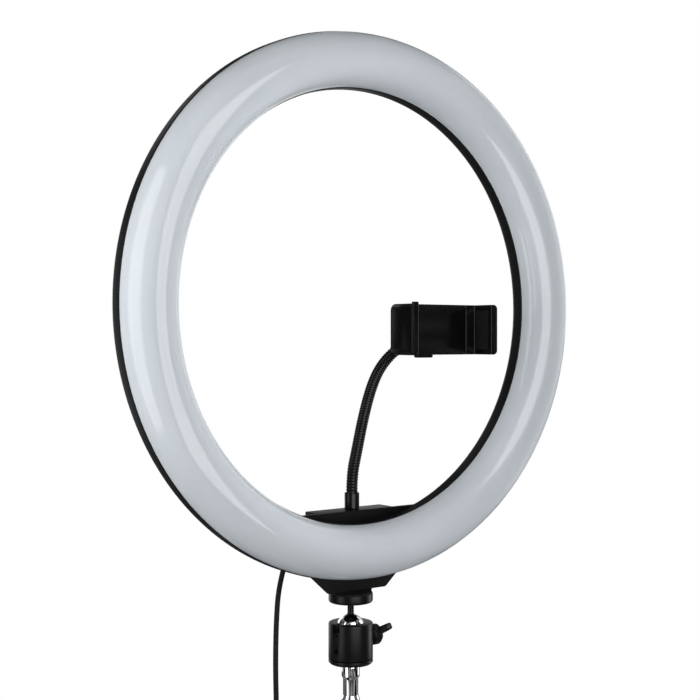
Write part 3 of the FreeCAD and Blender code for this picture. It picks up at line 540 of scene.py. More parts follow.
def evenly(line, step):
    """The line again, with points about step millimetres apart."""
    out, spare, step = [line[0]], 0.0, step * MM
    for start, end in zip(line, line[1:]):
        run = (end - start).length
        place = step - spare
        while place <= run:
            out.append(start.lerp(end, place / run))
            place += step
        spare = run - (place - step)
    out.append(line[-1])
    return out


# --- light head ---------------------------------------------------------------------------
RING_BORE_R, WEB_FRONT = 143.3, 8.0
RING_MID_R = (RING_R + RING_BORE_R) / 2
HALF_WIDTH, BULGE, WALL = 17.75, 21.0, 2.0
LIP_HALF_WIDTH, LIP_DEPTH = 16.25, 3.5
RING_STEPS, OUTER_STEPS, INNER_STEPS = 288, 44, 28
SEAM = 0.05                           # the housing's rim stops this far behind the shell's edge
TRAY_CORNER, TRAY_RIM, TRAY_LIP = 4.0, 0.35, 0.3
block_low, block_high = corners("mount_block")
WEB_TOP, BLOCK_FOOT = block_high[2], block_low[2]
WEB_DROP, BLOCK_DROP = RING_CENTRE.z - WEB_TOP, RING_CENTRE.z - BLOCK_FOOT


def diffuser_profile():
    """The bulged shell's section, (radius, height) with the height towards the front."""
    outer = [(RING_MID_R + HALF_WIDTH * math.cos(a), BULGE * math.sin(a))
             for a in [math.pi * k / OUTER_STEPS for k in range(OUTER_STEPS + 1)]]
    lip_inner = LIP_HALF_WIDTH - WALL
    inner = [(RING_MID_R - lip_inner * math.cos(a), (BULGE - WALL) * math.sin(a))
             for a in [math.pi * k / INNER_STEPS for k in range(INNER_STEPS + 1)]]
    low_lip = [(RING_MID_R - LIP_HALF_WIDTH, 0), (RING_MID_R - LIP_HALF_WIDTH, -LIP_DEPTH),
               (RING_MID_R - lip_inner, -LIP_DEPTH)]
    high_lip = [(RING_MID_R + lip_inner, -LIP_DEPTH), (RING_MID_R + LIP_HALF_WIDTH, -LIP_DEPTH),
                (RING_MID_R + LIP_HALF_WIDTH, 0)]
    return outer + low_lip + inner + high_lip


def mirrored(side):
    """A rounded outline about x = 0 from its right half, with z from the ring's centre."""
    right = [(x, RING_CENTRE.z + z, *radius) for x, z, *radius in side]
    return rounded(right + [(-x, z, *radius) for x, z, *radius in reversed(right)])


diffuser = keep("diffuser_shell",
                lathe(diffuser_profile(), RING_CENTRE, FRONT, RING_STEPS, closed=True),
                "light_head", "diffuser_milk", "diffuser")

tray_floor = WALL - HOUSING_DEPTH
tray = rounded([(RING_R, -SEAM, TRAY_RIM), (RING_R, -HOUSING_DEPTH, TRAY_CORNER),
                (RING_BORE_R, -HOUSING_DEPTH, TRAY_CORNER), (RING_BORE_R, -SEAM, TRAY_RIM),
                (RING_BORE_R + WALL, -SEAM, TRAY_LIP), (RING_BORE_R + WALL, tray_floor),
                (RING_R - WALL, tray_floor), (RING_R - WALL, -SEAM, TRAY_LIP)], steps=8)
web_r = RING_BORE_R + 1
web_half_angle = math.degrees(math.acos(WEB_DROP / web_r))
web_outline = arc((0, RING_CENTRE.z), web_r, -90 - web_half_angle, -90 + web_half_angle, 48)
web_y = (RING_CENTRE.y + WEB_FRONT, RING_CENTRE.y + HOUSING_DEPTH)
web = prism(web_outline, *web_y, 0.5)
tab = prism(mirrored([(42, -168), (37, -177, 3.0), (23.5, -189, 2.5)]), *web_y, 0.5)
keep("housing_shell", joined(lathe([tuple(p) for p in tray], RING_CENTRE, FRONT, RING_STEPS,
                                   closed=True), web, tab),
     "light_head", "black_housing", "rear_housing")

block_outline = mirrored([(31.5, -WEB_DROP, 0.6), (31.5, -150, 2.0), (20, -172, 3.0),
                          (13.5, -BLOCK_DROP, 0.6)])
keep("neck_block", prism(block_outline, block_low[1], block_high[1], 2.0, (False, True), 5),
     "light_head", "black_housing", "mount_block")

# --- cable gland with its ribbed, tapered boot ----------------------------------------------
FLANGE_HALF, FLANGE_DEPTH = 6.0, 4.5
BOOT_LENGTH, BOOT_FOOT, BOOT_RIBS, BOOT_PITCH = 14.0, 3.0, 5, 2.2
BOOT_R, BOOT_TAPER = 4.1, 0.34        # the first rib's radius, and how much each rib loses
gland_tip = Vector(CORD_ROUTE[0])
gland_way = (Vector(CORD_ROUTE[1]) - gland_tip).normalized()
entry = gland_tip - gland_way * BOOT_LENGTH
flange_y = housing_high[1]
flange = round_block((entry.x - FLANGE_HALF, flange_y, entry.z - FLANGE_HALF),
                     (entry.x + FLANGE_HALF, flange_y + FLANGE_DEPTH, entry.z + FLANGE_HALF),
                     1.5, 1.2, (False, True))
boot_profile = [(0, BOOT_FOOT)]
for rib in range(BOOT_RIBS):
    start, radius = BOOT_FOOT + rib * BOOT_PITCH, BOOT_R - rib * BOOT_TAPER
    boot_profile += [(radius - 0.1, start), (radius, start + 0.25), (radius - 0.06, start + 1.3),
                     (radius - 0.2, start + 1.5), (radius - 0.75, start + 1.65),
                     (radius - 0.8, start + 2.1)]
boot_profile += [(2.5, BOOT_LENGTH - 0.2), (2.2, BOOT_LENGTH + 0.1), (0, BOOT_LENGTH + 0.1)]
keep("cord_gland", joined(flange, lathe(boot_profile, entry, gland_way, 48)),
     "light_head", "black_housing", "cable_gland")

# --- gooseneck ----------------------------------------------------------------------------
NECK_FOOT = Vector((1, 0, WEB_TOP))
CLAMP_BALL = Vector((56, -7.5, 260))
NECK_END_WAY = Vector((0.12, -0.86, 0.50)).normalized()
SLEEVE_HEIGHT = 11.2
FERRULE_END, NECK_LAST_RUN = 19.0, 10.0
NECK_ROUTE = [NECK_FOOT + UP * SLEEVE_HEIGHT, (1, 0, 162.5), (8.2, 4, 178), (17.8, 10, 198),
              (28.5, 16, 216.5), (38, 20, 229.5), (46, 20.5, 238.5),
              CLAMP_BALL - NECK_END_WAY * (FERRULE_END + NECK_LAST_RUN),
              CLAMP_BALL - NECK_END_WAY * FERRULE_END]
NECK_PITCH, NECK_R, NECK_GROOVE = 1.95, 4.0, 0.62
STEPS_PER_PITCH, NECK_SIDES = 9, 40
NECK_BALL_R, STALK_R, FERRULE_R = 6.0, 2.25, 4.8


def neck_shape(along, angle):
    """Round wire wound in a spiral: arches between narrow grooves."""
    phase = (along / NECK_PITCH - angle / (2 * math.pi)) % 1.0
    return NECK_R - NECK_GROOVE * (1 - math.sin(math.pi * phase) ** 0.7)


neck_line = evenly(line_of([tuple(p) for p in NECK_ROUTE], 24), NECK_PITCH / STEPS_PER_PITCH)
keep("neck_spiral", sweep(neck_line, NECK_SIDES, neck_shape), "light_head", "neck_black",
     "gooseneck", angle=50)
sleeve = rounded([(0, 0), (5.0, 0, 0.5), (5.0, SLEEVE_HEIGHT, 0.6), (4.0, SLEEVE_HEIGHT, 0.15),
                  (3.7, SLEEVE_HEIGHT - 0.5), (0, SLEEVE_HEIGHT - 0.5)], closed=False)
keep("neck_sleeve", lathe(sleeve, NECK_FOOT, UP, 64), "light_head", "neck_black",
     "gooseneck_sleeve")
ferrule = rounded([(0, 0), (FERRULE_R, 0, 0.5), (FERRULE_R, 5.6, 0.8), (3.2, 7.0, 0.3),
                   (STALK_R, 7.0, 0.2)], closed=False)
ferrule += arc((0, FERRULE_END), NECK_BALL_R, -68, 90, 30)
keep("neck_ball_end", lathe(ferrule, CLAMP_BALL - NECK_END_WAY * FERRULE_END, NECK_END_WAY, 64),
     "light_head", "neck_black", "neck_ball_stud")

# --- phone clamp --------------------------------------------------------------------------
body_low, body_high = corners("clamp_body")
cover_low, cover_high = corners("clamp_cover")
slide_high = corners("sliding_jaw")[1]
CLAMP_X, CLAMP_Z = (cover_low[0], slide_high[0]), (cover_low[2], cover_high[2])
CLAMP_MID_Z = sum(CLAMP_Z) / 2
PLATE_BACK, PLATE_FRONT, JAW_FRONT = slide_high[1], -26.0, body_low[1]
INNER_BACK = body_high[1]             # the cover lies between here and the plate's back
FIXED_WALL, SLIDING_WALL = 4.6, 5.7
SPLIT = cover_high[0]
CAVITY_HALF = 11.0
JAW_EDGE = 0.55                       # the rounding of a jaw's edges
POCKET_END, POCKET_FRONT, POCKET_BACK, POCKET_DEPTH = 3.5, 3.2, 1.2, 1.0
PAD_GAP, PAD_PROUD, PAD_SINK = 0.1, 0.1, 0.95
PAD_RIBS, PAD_RIB_STEPS, PAD_RIB_DEPTH = 18, 6, 0.22


def jaw_part(outline, corner_x, corner_r):
    """An L-shaped jaw section extruded up the clamp, its two outer corners well rounded."""
    mesh = prism(outline, *CLAMP_Z, axis="Z")
    bm = bmesh.new()
    bm.from_mesh(mesh)
    ends = [edge for edge in bm.edges
            if all(abs(v.co.x - corner_x * MM) < TINY for v in edge.verts)
            and abs(edge.verts[0].co.z - edge.verts[1].co.z) < TINY]
    bmesh.ops.bevel(bm, geom=ends, offset=corner_r * MM, segments=10, profile=0.5, affect="EDGES")
    return softened(to_mesh(bm), JAW_EDGE, 3)


def pad_pocket(x_low, x_high):
    """The cutter for a jaw's pad pocket."""
    return block((x_low, JAW_FRONT + POCKET_FRONT, CLAMP_Z[0] + POCKET_END),
                 (x_high, PLATE_FRONT - POCKET_BACK, CLAMP_Z[1] - POCKET_END))


def ribbed_pad(x_low, x_high, face):
    """A rubber strip with fine ribs on the side that face points to."""
    z0, z1 = CLAMP_Z[0] + POCKET_END + PAD_GAP, CLAMP_Z[1] - POCKET_END - PAD_GAP
    back, front = (x_low, x_high) if face > 0 else (x_high, x_low)
    outline, steps = [], PAD_RIBS * PAD_RIB_STEPS
    for k in range(steps + 1):
        wave = PAD_RIB_DEPTH * (0.5 - 0.5 * math.cos(2 * math.pi * k / PAD_RIB_STEPS))
        outline.append((front - face * wave, z0 + (z1 - z0) * k / steps))
    outline += [(back, z1), (back, z0)]
    return prism(outline, JAW_FRONT + POCKET_FRONT + PAD_GAP, PLATE_FRONT - POCKET_BACK - PAD_GAP)


wall_face = CLAMP_X[0] + FIXED_WALL
fixed = jaw_part([(CLAMP_X[0], JAW_FRONT), (wall_face, JAW_FRONT), (wall_face, PLATE_FRONT),
                  (SPLIT, PLATE_FRONT), (SPLIT, INNER_BACK), (CLAMP_X[0], INNER_BACK)],
                 CLAMP_X[0], 4.3)
lip = round_block((CLAMP_X[0] + 1.2, JAW_FRONT - 0.05, CLAMP_Z[0] + 1.2),
                  (wall_face + 1.4, JAW_FRONT + 2.2, CLAMP_Z[1] + 1.1), 0.9, 0.6)
clamp_tab = round_block((37, PLATE_FRONT + 0.05, body_low[2]),
                        (50.5, INNER_BACK, CLAMP_Z[0] + 2), 1.2, 0.4)
cavity = block((24.0, INNER_BACK - 3.1, CLAMP_MID_Z - CAVITY_HALF),
               (SPLIT + 1, INNER_BACK + 1, CLAMP_MID_Z + CAVITY_HALF))
fixed = carved(fixed, cavity, pad_pocket(wall_face - POCKET_DEPTH, wall_face + 1))
keep("clamp_shell", joined(fixed, lip, clamp_tab), "clamp", "clamp_plastic", "clamp_body")
keep("fixed_pad", ribbed_pad(wall_face - PAD_SINK, wall_face + PAD_PROUD, 1), "clamp",
     "grip_rubber", "fixed_jaw_pad")

cover_outline = rounded([(CLAMP_X[0], CLAMP_Z[0], 4.5), (SPLIT, CLAMP_Z[0], 0.5),
                         (SPLIT, CLAMP_Z[1], 0.5), (CLAMP_X[0], CLAMP_Z[1], 4.5)], steps=8)
BOSS_R, BOSS_BORE_R, BOSS_DEPTH = 13.2, 11.1, 3.6
boss = rounded([(BOSS_BORE_R, 0), (BOSS_R, 0), (BOSS_R, BOSS_DEPTH, 0.6),
                (BOSS_BORE_R, BOSS_DEPTH, 0.4)])
boss_at = Vector((CLAMP_BALL.x, PLATE_BACK, CLAMP_BALL.z))
keep("clamp_back", joined(prism(cover_outline, INNER_BACK, PLATE_BACK, 0.35, (False, True)),
                          lathe(boss, boss_at, BACK, 96, closed=True)),
     "clamp", "clamp_plastic", "clamp_cover")

TONGUE_GAP = 0.3
slide_x, slide_face = SPLIT + 0.3, CLAMP_X[1] - SLIDING_WALL
sliding = jaw_part([(slide_x, PLATE_FRONT), (slide_face, PLATE_FRONT), (slide_face, JAW_FRONT),
                    (CLAMP_X[1], JAW_FRONT), (CLAMP_X[1], PLATE_BACK), (slide_x, PLATE_BACK)],
                   CLAMP_X[1], 3.1)
tongue_back = INNER_BACK - TONGUE_GAP
tongue_half = CAVITY_HALF - TONGUE_GAP
tongue = block((40, tongue_back - 2.5, CLAMP_MID_Z - tongue_half),
               (slide_x + 2, tongue_back, CLAMP_MID_Z + tongue_half))
sliding = carved(sliding, pad_pocket(slide_face - 1, slide_face + POCKET_DEPTH))
keep("clamp_slide", joined(sliding, softened(tongue, 0.25)), "jaw", "clamp_plastic", "sliding_jaw")
keep("sliding_pad", ribbed_pad(slide_face - PAD_PROUD, slide_face + PAD_SINK, -1), "jaw",
     "grip_rubber", "sliding_jaw_pad")

nut_low, nut_high = corners("lock_nut")
NUT_R, NUT_BORE_R = nut_high[0] - CLAMP_BALL.x, 9.05
NUT_FRONT, NUT_BACK = nut_low[1] - PLATE_BACK, nut_high[1] - PLATE_BACK
NUT_RIBS, NUT_RIB_DEPTH, NUT_RIBS_FROM_R = 24, 0.75, 11.2
nut = rounded([(NUT_BORE_R, NUT_FRONT), (11.1, NUT_FRONT, 0.2), (NUT_R, 7.5, 0.3),
               (NUT_R, 14, 0.4), (11.0, 14.5, 0.2), (10.6, NUT_BACK, 0.3),
               (NUT_BORE_R, NUT_BACK)], steps=3)


def nut_ribs(angle, radius):
    """Flat-topped grip ribs round the nut's rim."""
    if radius < NUT_RIBS_FROM_R:
        return radius
    wave = 0.5 + 0.5 * math.cos(NUT_RIBS * angle)
    return radius - NUT_RIB_DEPTH * min(1.0, max(0.0, (0.55 - wave) * 4))


keep("neck_nut", lathe(nut, boss_at, BACK, 288, closed=True, ribs=nut_ribs), "clamp_nut",
     "clamp_plastic", "lock_nut")

# --- ball head ----------------------------------------------------------------------------
cup_low, cup_high = corners("ball_housing")
base_low, base_high = corners("base_plate")
ball_low, ball_high = corners("ball")
CUP_R, CUP_TOP, CUP_LOW, CUP_BOTTOM = cup_high[0], cup_high[2], cup_low[2], base_low[2]
CUP_GROOVE = CUP_LOW - 0.4            # a fine groove parts the cup from its base
BALL_Z, BALL_R = centre("ball")[2], (ball_high[2] - ball_low[2]) / 2
NOTCH_ANGLE, NOTCH_HALF, NOTCH_Z = math.radians(193), 2.8, BALL_Z - 0.2
SET_SCREW_Z, KNOB_Z = centre("set_screw")[2], centre("knob_screw")[2]
HOLLOW_R, HOLLOW_TOP = 12.9, 55.5     # the room in the cup, below the ball's bowl
SPIGOT_R, SPIGOT_TOP = 12.8, base_high[2]            # the base's spigot in that room

bowl_r = BALL_R + 0.15
bowl_top = math.degrees(math.asin((CUP_TOP - BALL_Z) / bowl_r))
bowl_low = math.degrees(math.asin((HOLLOW_TOP - BALL_Z) / bowl_r))
cup = rounded([(HOLLOW_R, CUP_LOW), (CUP_R, CUP_LOW, 0.5), (CUP_R, CUP_TOP, 1.0),
               (bowl_r * math.cos(math.radians(bowl_top)), CUP_TOP, 0.3)], closed=False, steps=6)
cup += arc((0, BALL_Z), bowl_r, bowl_top - 2, bowl_low, 10)
cup += [Vector((HOLLOW_R, HOLLOW_TOP))]
cup_mesh = lathe(cup, steps=128, closed=True)
notch_way = Vector((math.cos(NOTCH_ANGLE), math.sin(NOTCH_ANGLE), 0))
notch_outline = [(-NOTCH_HALF, CUP_TOP + 2), *arc((0, NOTCH_Z), NOTCH_HALF, 180, 360, 14),
                 (NOTCH_HALF, CUP_TOP + 2)]
notch_cut = prism(notch_outline, 5, 20)
notch_cut.transform(Matrix.Rotation(NOTCH_ANGLE - math.pi / 2, 4, "Z"))
SCREW_HOLE_R, SCREW_R, SCREW_AT = 1.75, 1.7, 12.83
screw_cut = lathe([(0, 8), (SCREW_HOLE_R, 8), (SCREW_HOLE_R, 22), (0, 22)],
                  (0, 0, SET_SCREW_Z), notch_way, 32)
cup_mesh = carved(cup_mesh, notch_cut, screw_cut)


def on_the_cut(edge):
    """True for rims left by the notch and the screw hole on the cup's outer side or top."""
    middle = (edge.verts[0].co + edge.verts[1].co) / 2 / MM
    outside = math.hypot(middle.x, middle.y) > CUP_R - 0.4 or middle.z > CUP_TOP - 0.4
    return outside and middle.z < CUP_TOP + 0.1 and middle.xy.dot(notch_way.xy) > 6


keep("head_cup", softened(cup_mesh, 0.28, 3, 50, on_the_cut), "ball_head", "head_black",
     "ball_housing", angle=40)
base = rounded([(0, CUP_BOTTOM), (CUP_R - 1.3, CUP_BOTTOM, 0.3), (CUP_R, CUP_BOTTOM + 1.3, 0.4),
                (CUP_R, CUP_GROOVE, 0.45), (SPIGOT_R, CUP_GROOVE), (SPIGOT_R, SPIGOT_TOP),
                (0, SPIGOT_TOP)], closed=False)
keep("head_base", lathe(base, steps=128), "ball_head", "head_black", "base_plate")
screw_at = Vector((0, 0, SET_SCREW_Z)) + notch_way * SCREW_AT
socket = [(0, 0.8), (0.75, 0.8), (0.8, 1.5), (0.95, 1.6), (1.5, 1.6), (SCREW_R, 1.4),
          (SCREW_R, 0), (0, 0)]


def hexagon(angle, radius):
    """The screw's hexagonal socket; its outside stays round."""
    if radius > 0.9:
        return radius
    return radius / math.cos((angle + math.pi / 6) % (math.pi / 3) - math.pi / 6)


keep("grub_screw", lathe(socket, screw_at, notch_way, 48, ribs=hexagon), "ball_head", "stem_black",
     "set_screw", angle=25)

keep("tilt_ball", lathe([tuple(p) for p in arc((0, BALL_Z), BALL_R, -90, 90, 64)], steps=128),
     "ball", "ball_chrome", "ball")

disc_low, disc_high = corners("platform_disc")
DISC_R, DISC_LOW, DISC_TOP = disc_high[0], disc_low[2], disc_high[2]
stem_high = corners("ball_stem")[1]
FLANGE_R, FLANGE_TOP = stem_high[0], 79.0            # the stem's flange, let into the disc
THREAD_R, THREAD_ROOT_R, THREAD_TURNS, THREAD_PITCH = 3.1, 2.75, 18, 0.8
STEM_R, STEM_TOP = 2.2, stem_high[2]
STEM_LOW = BALL_Z + math.sqrt((BALL_R + 0.05) ** 2 - STEM_R ** 2)
stem = rounded([(0, STEM_LOW), (STEM_R + 0.5, STEM_LOW - 0.12, 0.1), (STEM_R, STEM_LOW + 0.6, 0.6),
                (STEM_R, DISC_LOW, 0.2), (FLANGE_R, DISC_LOW, 0.2), (FLANGE_R, FLANGE_TOP, 0.1),
                (THREAD_R, FLANGE_TOP)], closed=False, steps=4)
for turn in range(THREAD_TURNS):
    crest = FLANGE_TOP + 0.3 + turn * THREAD_PITCH
    stem += [Vector((THREAD_R, crest)), Vector((THREAD_ROOT_R, crest + THREAD_PITCH / 2))]
stem += [Vector((2.9, STEM_TOP - 0.8)), Vector((2.3, STEM_TOP)), Vector((0, STEM_TOP))]
keep("head_stem", lathe(stem, steps=64), "stem", "stem_black", "ball_stem")

disc = rounded([(FLANGE_R + 0.05, DISC_LOW), (DISC_R, DISC_LOW, 1.6), (DISC_R, DISC_TOP, 0.4),
                (THREAD_R + 0.05, DISC_TOP), (THREAD_R + 0.05, FLANGE_TOP + 0.05),
                (FLANGE_R + 0.05, FLANGE_TOP + 0.05)])
keep("platform", lathe(disc, steps=128, closed=True), "light_head", "head_black", "platform_disc")
PAD_R, PAD_BORE_R = corners("platform_pad")[1][0], 3.2
pad = rounded([(PAD_BORE_R, DISC_TOP), (PAD_R, DISC_TOP), (PAD_R, BLOCK_FOOT, 0.25),
               (PAD_BORE_R, BLOCK_FOOT)])
keep("platform_rubber", lathe(pad, steps=96, closed=True), "light_head", "grip_rubber",
     "platform_pad")

# --- lock knob ----------------------------------------------------------------------------
KNOB_START, KNOB_TILT = corners("lock_knob")[0][0], 35.0
WING_HALF_DEPTH = 2.1
hub = rounded([(2.5, 6), (2.5, 0), (5.6, 0, 0.3), (7.0, 1.4, 0.4), (7.0, 6.5, 1.0), (5.6, 8.2, 0.5),
               (4.6, 8.7, 0.3), (0, 8.7)], closed=False)
wing_side = [(19.5, 7.4, 3.0), (23.5, 11.4, 3.0), (26.4, 13.0, 1.2), (28.1, 11.2, 1.2),
             (27.2, 7.6, 3.0), (24.6, 3.6, 2.0)]
wing_outline = [(17.2, 0)] + wing_side + [(23.4, 0)]
wing_outline += [(x, -h, r) for x, h, r in reversed(wing_side)]
wings = prism(rounded(wing_outline), -WING_HALF_DEPTH, WING_HALF_DEPTH, 1.1, segments=4)
wings.transform(Matrix.Translation((0, 0, KNOB_Z * MM))
                @ Matrix.Rotation(math.radians(90 - KNOB_TILT), 4, "X"))
keep("knob", joined(lathe(hub, (KNOB_START, 0, KNOB_Z), RIGHT, 72), wings), "knob", "knob_plastic",
     "lock_knob")

# --- stand stud ---------------------------------------------------------------------------
stud_low, stud_high = corners("stand_stud")
STUD_R, STUD_NECK_R, STUD_BORE_R = stud_high[0], 5.15, 3.2
STUD_LOW, STUD_TOP = stud_low[2], CUP_BOTTOM - 0.05
stud_profile = rounded([(0, -2.5), (STUD_BORE_R, -2.5), (STUD_BORE_R, STUD_LOW, 0.2),
                        (STUD_R, STUD_LOW, 0.8),
                        (STUD_R, 12.2, 0.6), (STUD_NECK_R, 14.6, 0.8), (STUD_NECK_R, 25.5, 0.8),
                        (STUD_R, 27.4, 0.5), (STUD_R, STUD_TOP, 0.5), (THREAD_R, STUD_TOP),
                        (THREAD_R, stud_high[2]), (0, stud_high[2])], closed=False)
keep("chrome_stud", lathe(stud_profile, steps=96), "ball_head", "ball_chrome", "stand_stud")

# --- hand control, plug and tie -------------------------------------------------------------
REMOTE_LOW = Vector(corners("remote_front")[0])
REMOTE_HIGH = Vector(corners("remote_back")[1])
REMOTE_MID_Y = (REMOTE_LOW.y + REMOTE_HIGH.y) / 2
CORD_X, CORD_Y = LINK[0][:2]
SHELL_CORNER, SHELL_EDGE, SHELL_GAP = 5.0, 1.4, 0.12
BUTTON_R, WELL_R = 4.0, 4.15
BUTTONS = {name: centre(name)[2]
           for name in ("power_button", "mode_button", "brighter_button", "dimmer_button")}
front_half = round_block(REMOTE_LOW, (REMOTE_HIGH.x, REMOTE_MID_Y - SHELL_GAP, REMOTE_HIGH.z),
                         SHELL_CORNER, SHELL_EDGE, (True, False))
wells = [lathe([(0, 0), (WELL_R, 0), (WELL_R, 3), (0, 3)], (CORD_X, REMOTE_LOW.y - 1.5, height),
               BACK, 48) for height in BUTTONS.values()]
remote_front = keep("remote_face", carved(front_half, *wells), "light_head", "remote_plastic",
                    "remote_front")
rear_half = round_block((REMOTE_LOW.x, REMOTE_MID_Y + SHELL_GAP, REMOTE_LOW.z), REMOTE_HIGH,
                        SHELL_CORNER, SHELL_EDGE, (False, True))
remote_back = keep("remote_rear", rear_half, "light_head", "remote_plastic", "remote_back")
boots = []
for start, way in ((REMOTE_HIGH.z, 1), (REMOTE_LOW.z, -1)):
    profile = [(0, -1)]
    for rib in range(3):
        low, radius = rib * 2.4, 3.3 - rib * 0.35
        profile += [(radius, low), (radius - 0.05, low + 1.4), (radius - 0.2, low + 1.6),
                    (radius - 0.7, low + 1.75), (radius - 0.75, low + 2.3)]
    profile += [(2.2, 7.9), (0, 7.9)]
    boots.append(lathe(profile, (CORD_X, CORD_Y, start), UP * way, 40))
remote_boots = keep("remote_reliefs", joined(*boots), "light_head", "cord_black", "remote_boots")
cap = rounded([(0, 0.15), (2.6, 0.1, 1.0), (BUTTON_R, -0.05, 0.5), (BUTTON_R, 3.1), (0, 3.1)],
              closed=False)
for button_name, height in BUTTONS.items():
    keep(button_name + "_cap", lathe(cap, (CORD_X, REMOTE_LOW.y - 1.4, height), BACK, 48),
         button_name, "button_rubber", button_name)

case_low, case_high = corners("plug_body")
plug_case = rounded([(case_low[0], case_low[2], 2.5), (case_high[0], case_low[2], 2.5),
                     (case_high[0], case_high[2], 1.0), (case_low[0], case_high[2], 1.0)],
                    steps=6)
plug_mesh = prism(plug_case, case_low[1], case_high[1], 1.7, segments=5)
plug_piece = keep("plug_case", plug_mesh, "light_head", "cord_black", "plug_body")
shell_low, shell_high = corners("plug_shell")
SHELL_WALL, SHELL_ROUND = 0.35, 0.5


def shell_section(inset, *corner):
    """The plug shell's section, this far inside its outline, with rounded corners if given."""
    x0, x1 = shell_low[0] + inset, shell_high[0] - inset
    y0, y1 = shell_low[1] + inset, shell_high[1] - inset
    return rounded([(x, y, *corner) for x, y in ((x0, y0), (x1, y0), (x1, y1), (x0, y1))], steps=4)


shell = carved(prism(shell_section(0, SHELL_ROUND), shell_low[2], shell_high[2], axis="Z"),
               prism(shell_section(SHELL_WALL), shell_low[2] + 1, shell_high[2] + 2, axis="Z"))
plug_metal = keep("plug_sleeve", shell, "light_head", "zinc_steel", "plug_shell")

strap_low, strap_high = corners("cord_tie")
STRAP_LOW, STRAP_HIGH, STRAP_THICKNESS = strap_low[2], strap_high[2], 1.05


def strap():
    """A closed hook-and-loop strap round the coil and the plug."""
    x, front = COIL_CENTRE[0] - COIL_MEAN_R, COIL_CENTRE[1] - 6.4
    back = case_high[1]
    half = [(4.0, front - 0.1, 3.0), (6.6, front + 3.6, 3.0), (8.1, back - 8.1, 3.0),
            (8.1, back + 0.1, 1.5)]
    inner = rounded([(x + w, y, r) for w, y, r in half]
                    + [(x - w, y, r) for w, y, r in reversed(half)], steps=6)
    middle = Vector((x, (front + back) / 2))
    outer = [p + (p - middle).normalized() * STRAP_THICKNESS for p in inner]
    bm = bmesh.new()
    low, high = STRAP_LOW + 0.25, STRAP_HIGH - 0.25
    section = [(0.06, STRAP_LOW), (0.94, STRAP_LOW), (1.0, low), (1.0, high),
               (0.94, STRAP_HIGH), (0.06, STRAP_HIGH), (0.0, high), (0.0, low)]
    rings = [[bm.verts.new(Vector((*a.lerp(b, share), z)) * MM) for share, z in section]
             for a, b in zip(inner, outer)]
    for first, second in zip(rings, rings[1:] + rings[:1]):
        for k in range(len(section)):
            ahead = (k + 1) % len(section)
            bm.faces.new([first[k], first[ahead], second[ahead], second[k]])
    return to_mesh(bm)


tie_piece = keep("strap_tie", strap(), "light_head", "tie_black", "cord_tie", angle=50)

# --- what the cord carries ------------------------------------------------------------------
supply_lead.data.materials.append(MATERIALS["cord_black"])
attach(supply_lead, "light_head")
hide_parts("supply_cord", "cord_coil", "remote_cord", "plug_cord")


# --- floor, world and lights --------------------------------------------------------------
FLOOR_Z, FLOOR_R = -240.0, 850.0
floor_mesh = lathe([(0, FLOOR_Z), (FLOOR_R * 0.5, FLOOR_Z), (FLOOR_R, FLOOR_Z)], steps=96)
floor_mesh.materials.append(plain_finish("studio_floor", (0.80, 0.80, 0.79), 0.01, (0.7, 0.8),
                                         60, 0.02))
floor = bpy.data.objects.new("studio_floor", floor_mesh)
scene.collection.objects.link(floor)
floor.visible_diffuse = floor.visible_glossy = False

# White for the camera; else a soft fill, with light and dark cards in what glossy faces mirror.
world = bpy.data.worlds.new("studio")
scene.world = world
world.use_nodes = True
sky = world.node_tree


def sky_node(kind, **inputs):
    """A node of the world, with these values in its sockets."""
    node = sky.nodes.new(kind)
    set_sockets(node, inputs)
    return node


ray = sky_node("ShaderNodeLightPath")
heading = sky_node("ShaderNodeTexCoord")
rise = sky_node("ShaderNodeSeparateXYZ")
fill = sky_node("ShaderNodeMapRange", From_Min=-0.5, From_Max=0.6, To_Min=0.27, To_Max=0.21)
patches = sky_node("ShaderNodeTexNoise", Scale=7.0, Detail=2.0)
cards = sky_node("ShaderNodeMapRange", From_Min=0.51, From_Max=0.61, To_Min=0.01, To_Max=1.8)
shown = sky_node("ShaderNodeMixRGB", Color1=(1, 1, 1, 1))
dimmed = sky_node("ShaderNodeMixRGB", Fac=1.0)
dimmed.blend_type = "MULTIPLY"
glow = sky_node("ShaderNodeMixRGB", Color2=(1, 1, 1, 1))
sky.links.new(heading.outputs["Generated"], rise.inputs["Vector"])
sky.links.new(rise.outputs["Z"], fill.inputs["Value"])
sky.links.new(heading.outputs["Generated"], patches.inputs["Vector"])
sky.links.new(patches.outputs["Fac"], cards.inputs["Value"])
sky.links.new(ray.outputs["Is Glossy Ray"], shown.inputs["Fac"])
sky.links.new(cards.outputs["Result"], shown.inputs["Color2"])
sky.links.new(fill.outputs["Result"], dimmed.inputs["Color1"])
sky.links.new(shown.outputs["Color"], dimmed.inputs["Color2"])
sky.links.new(ray.outputs["Is Camera Ray"], glow.inputs["Fac"])
sky.links.new(dimmed.outputs["Color"], glow.inputs["Color1"])
sky.links.new(glow.outputs["Color"], sky.nodes["Background"].inputs["Color"])
scene.view_settings.view_transform = "Standard"


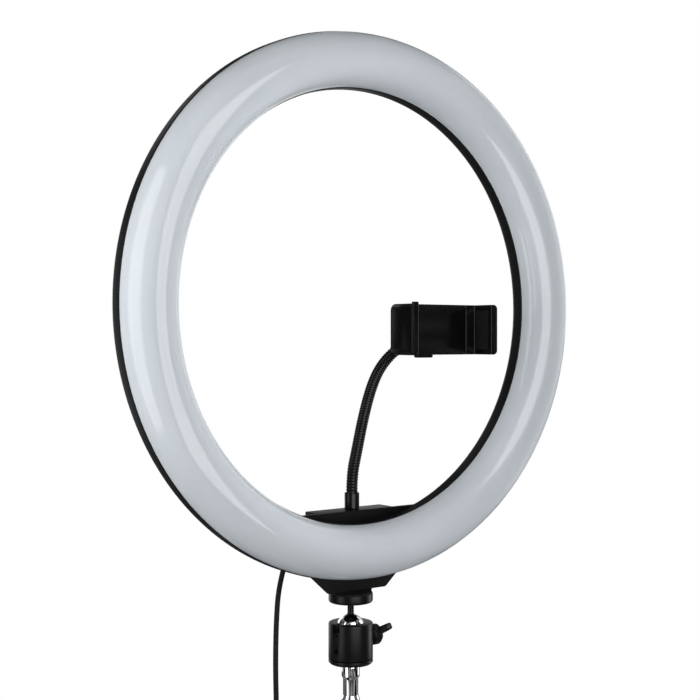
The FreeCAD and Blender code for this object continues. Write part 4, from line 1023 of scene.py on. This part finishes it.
def softbox(name, place, aim, width, height, radiance, lights=True, shines=True):
    """A rectangular lamp at place, in millimetres, that faces aim.

    lights is off for a lamp that only shows in gloss, and shines for one that never does."""
    data = bpy.data.lights.new(name, "AREA")
    data.shape = "RECTANGLE"
    data.size, data.size_y = width * MM, height * MM
    data.energy = radiance * math.pi * data.size * data.size_y
    lamp_object = bpy.data.objects.new(name, data)
    scene.collection.objects.link(lamp_object)
    lamp_object.location = Vector(place) * MM
    lamp_object.rotation_mode = "QUATERNION"
    way = Vector(place) - Vector(aim)
    lamp_object.rotation_quaternion = way.to_track_quat("Z", "Y")
    lamp_object.visible_camera = False
    lamp_object.visible_diffuse, lamp_object.visible_glossy = lights, shines
    return lamp_object


LEFT_LIMB, RIGHT_LIMB = (-161, -30, 270), (161, -30, 260)
FRONT_FACE, HEAD_MIDDLE = (-10, -30, 285), (0, -16, 260)
softbox("left_box", (-560, -20, 290), LEFT_LIMB, 330, 900, 2.6)
softbox("front_box", (-63, -355, 300), FRONT_FACE, 200, 640, 2.1, shines=False)
softbox("front_gloss", (-61, -340, 300), FRONT_FACE, 300, 640, 3.4, lights=False)
softbox("right_box", (760, -120, 270), RIGHT_LIMB, 300, 900, 5.4, shines=False)
edge_light = softbox("right_gloss", (750, -120, 270), RIGHT_LIMB, 300, 900, 2.9, lights=False)
rear_light = softbox("rear_box", (100, 1700, 150), (0, -16, 200), 1500, 1100, 1.1)
softbox("top_box", (-200, -500, 1500), HEAD_MIDDLE, 1400, 900, 0.2)
softbox("back_strip", (900, 1200, 290), HEAD_MIDDLE, 1200, 260, 0.8)
softbox("back_left_box", (50, 1500, 750), HEAD_MIDDLE, 500, 1100, 0.8)
softbox("back_right_box", (1430, 460, 750), HEAD_MIDDLE, 500, 1100, 0.8)

# These two give the pieces round the diffuser their edges, and leave it and the floor alone.
dark_pieces = bpy.data.collections.new("dark_pieces")
for piece in list(scene.objects):
    if piece.type in ("MESH", "CURVE") and piece not in (floor, diffuser):
        dark_pieces.objects.link(piece)
for light in (edge_light, rear_light):
    light.light_linking.receiver_collection = dark_pieces

floor_light = bpy.data.lights.new("floor_sun", "SUN")
floor_light.energy = 3.3
floor_light.angle = math.radians(40)
floor_sun = bpy.data.objects.new("floor_sun", floor_light)
scene.collection.objects.link(floor_sun)
floor_sun.rotation_euler = (math.radians(12), math.radians(-10), 0)
lit_by_sun = bpy.data.collections.new("lit_by_sun")
lit_by_sun.objects.link(floor)
floor_sun.light_linking.receiver_collection = lit_by_sun
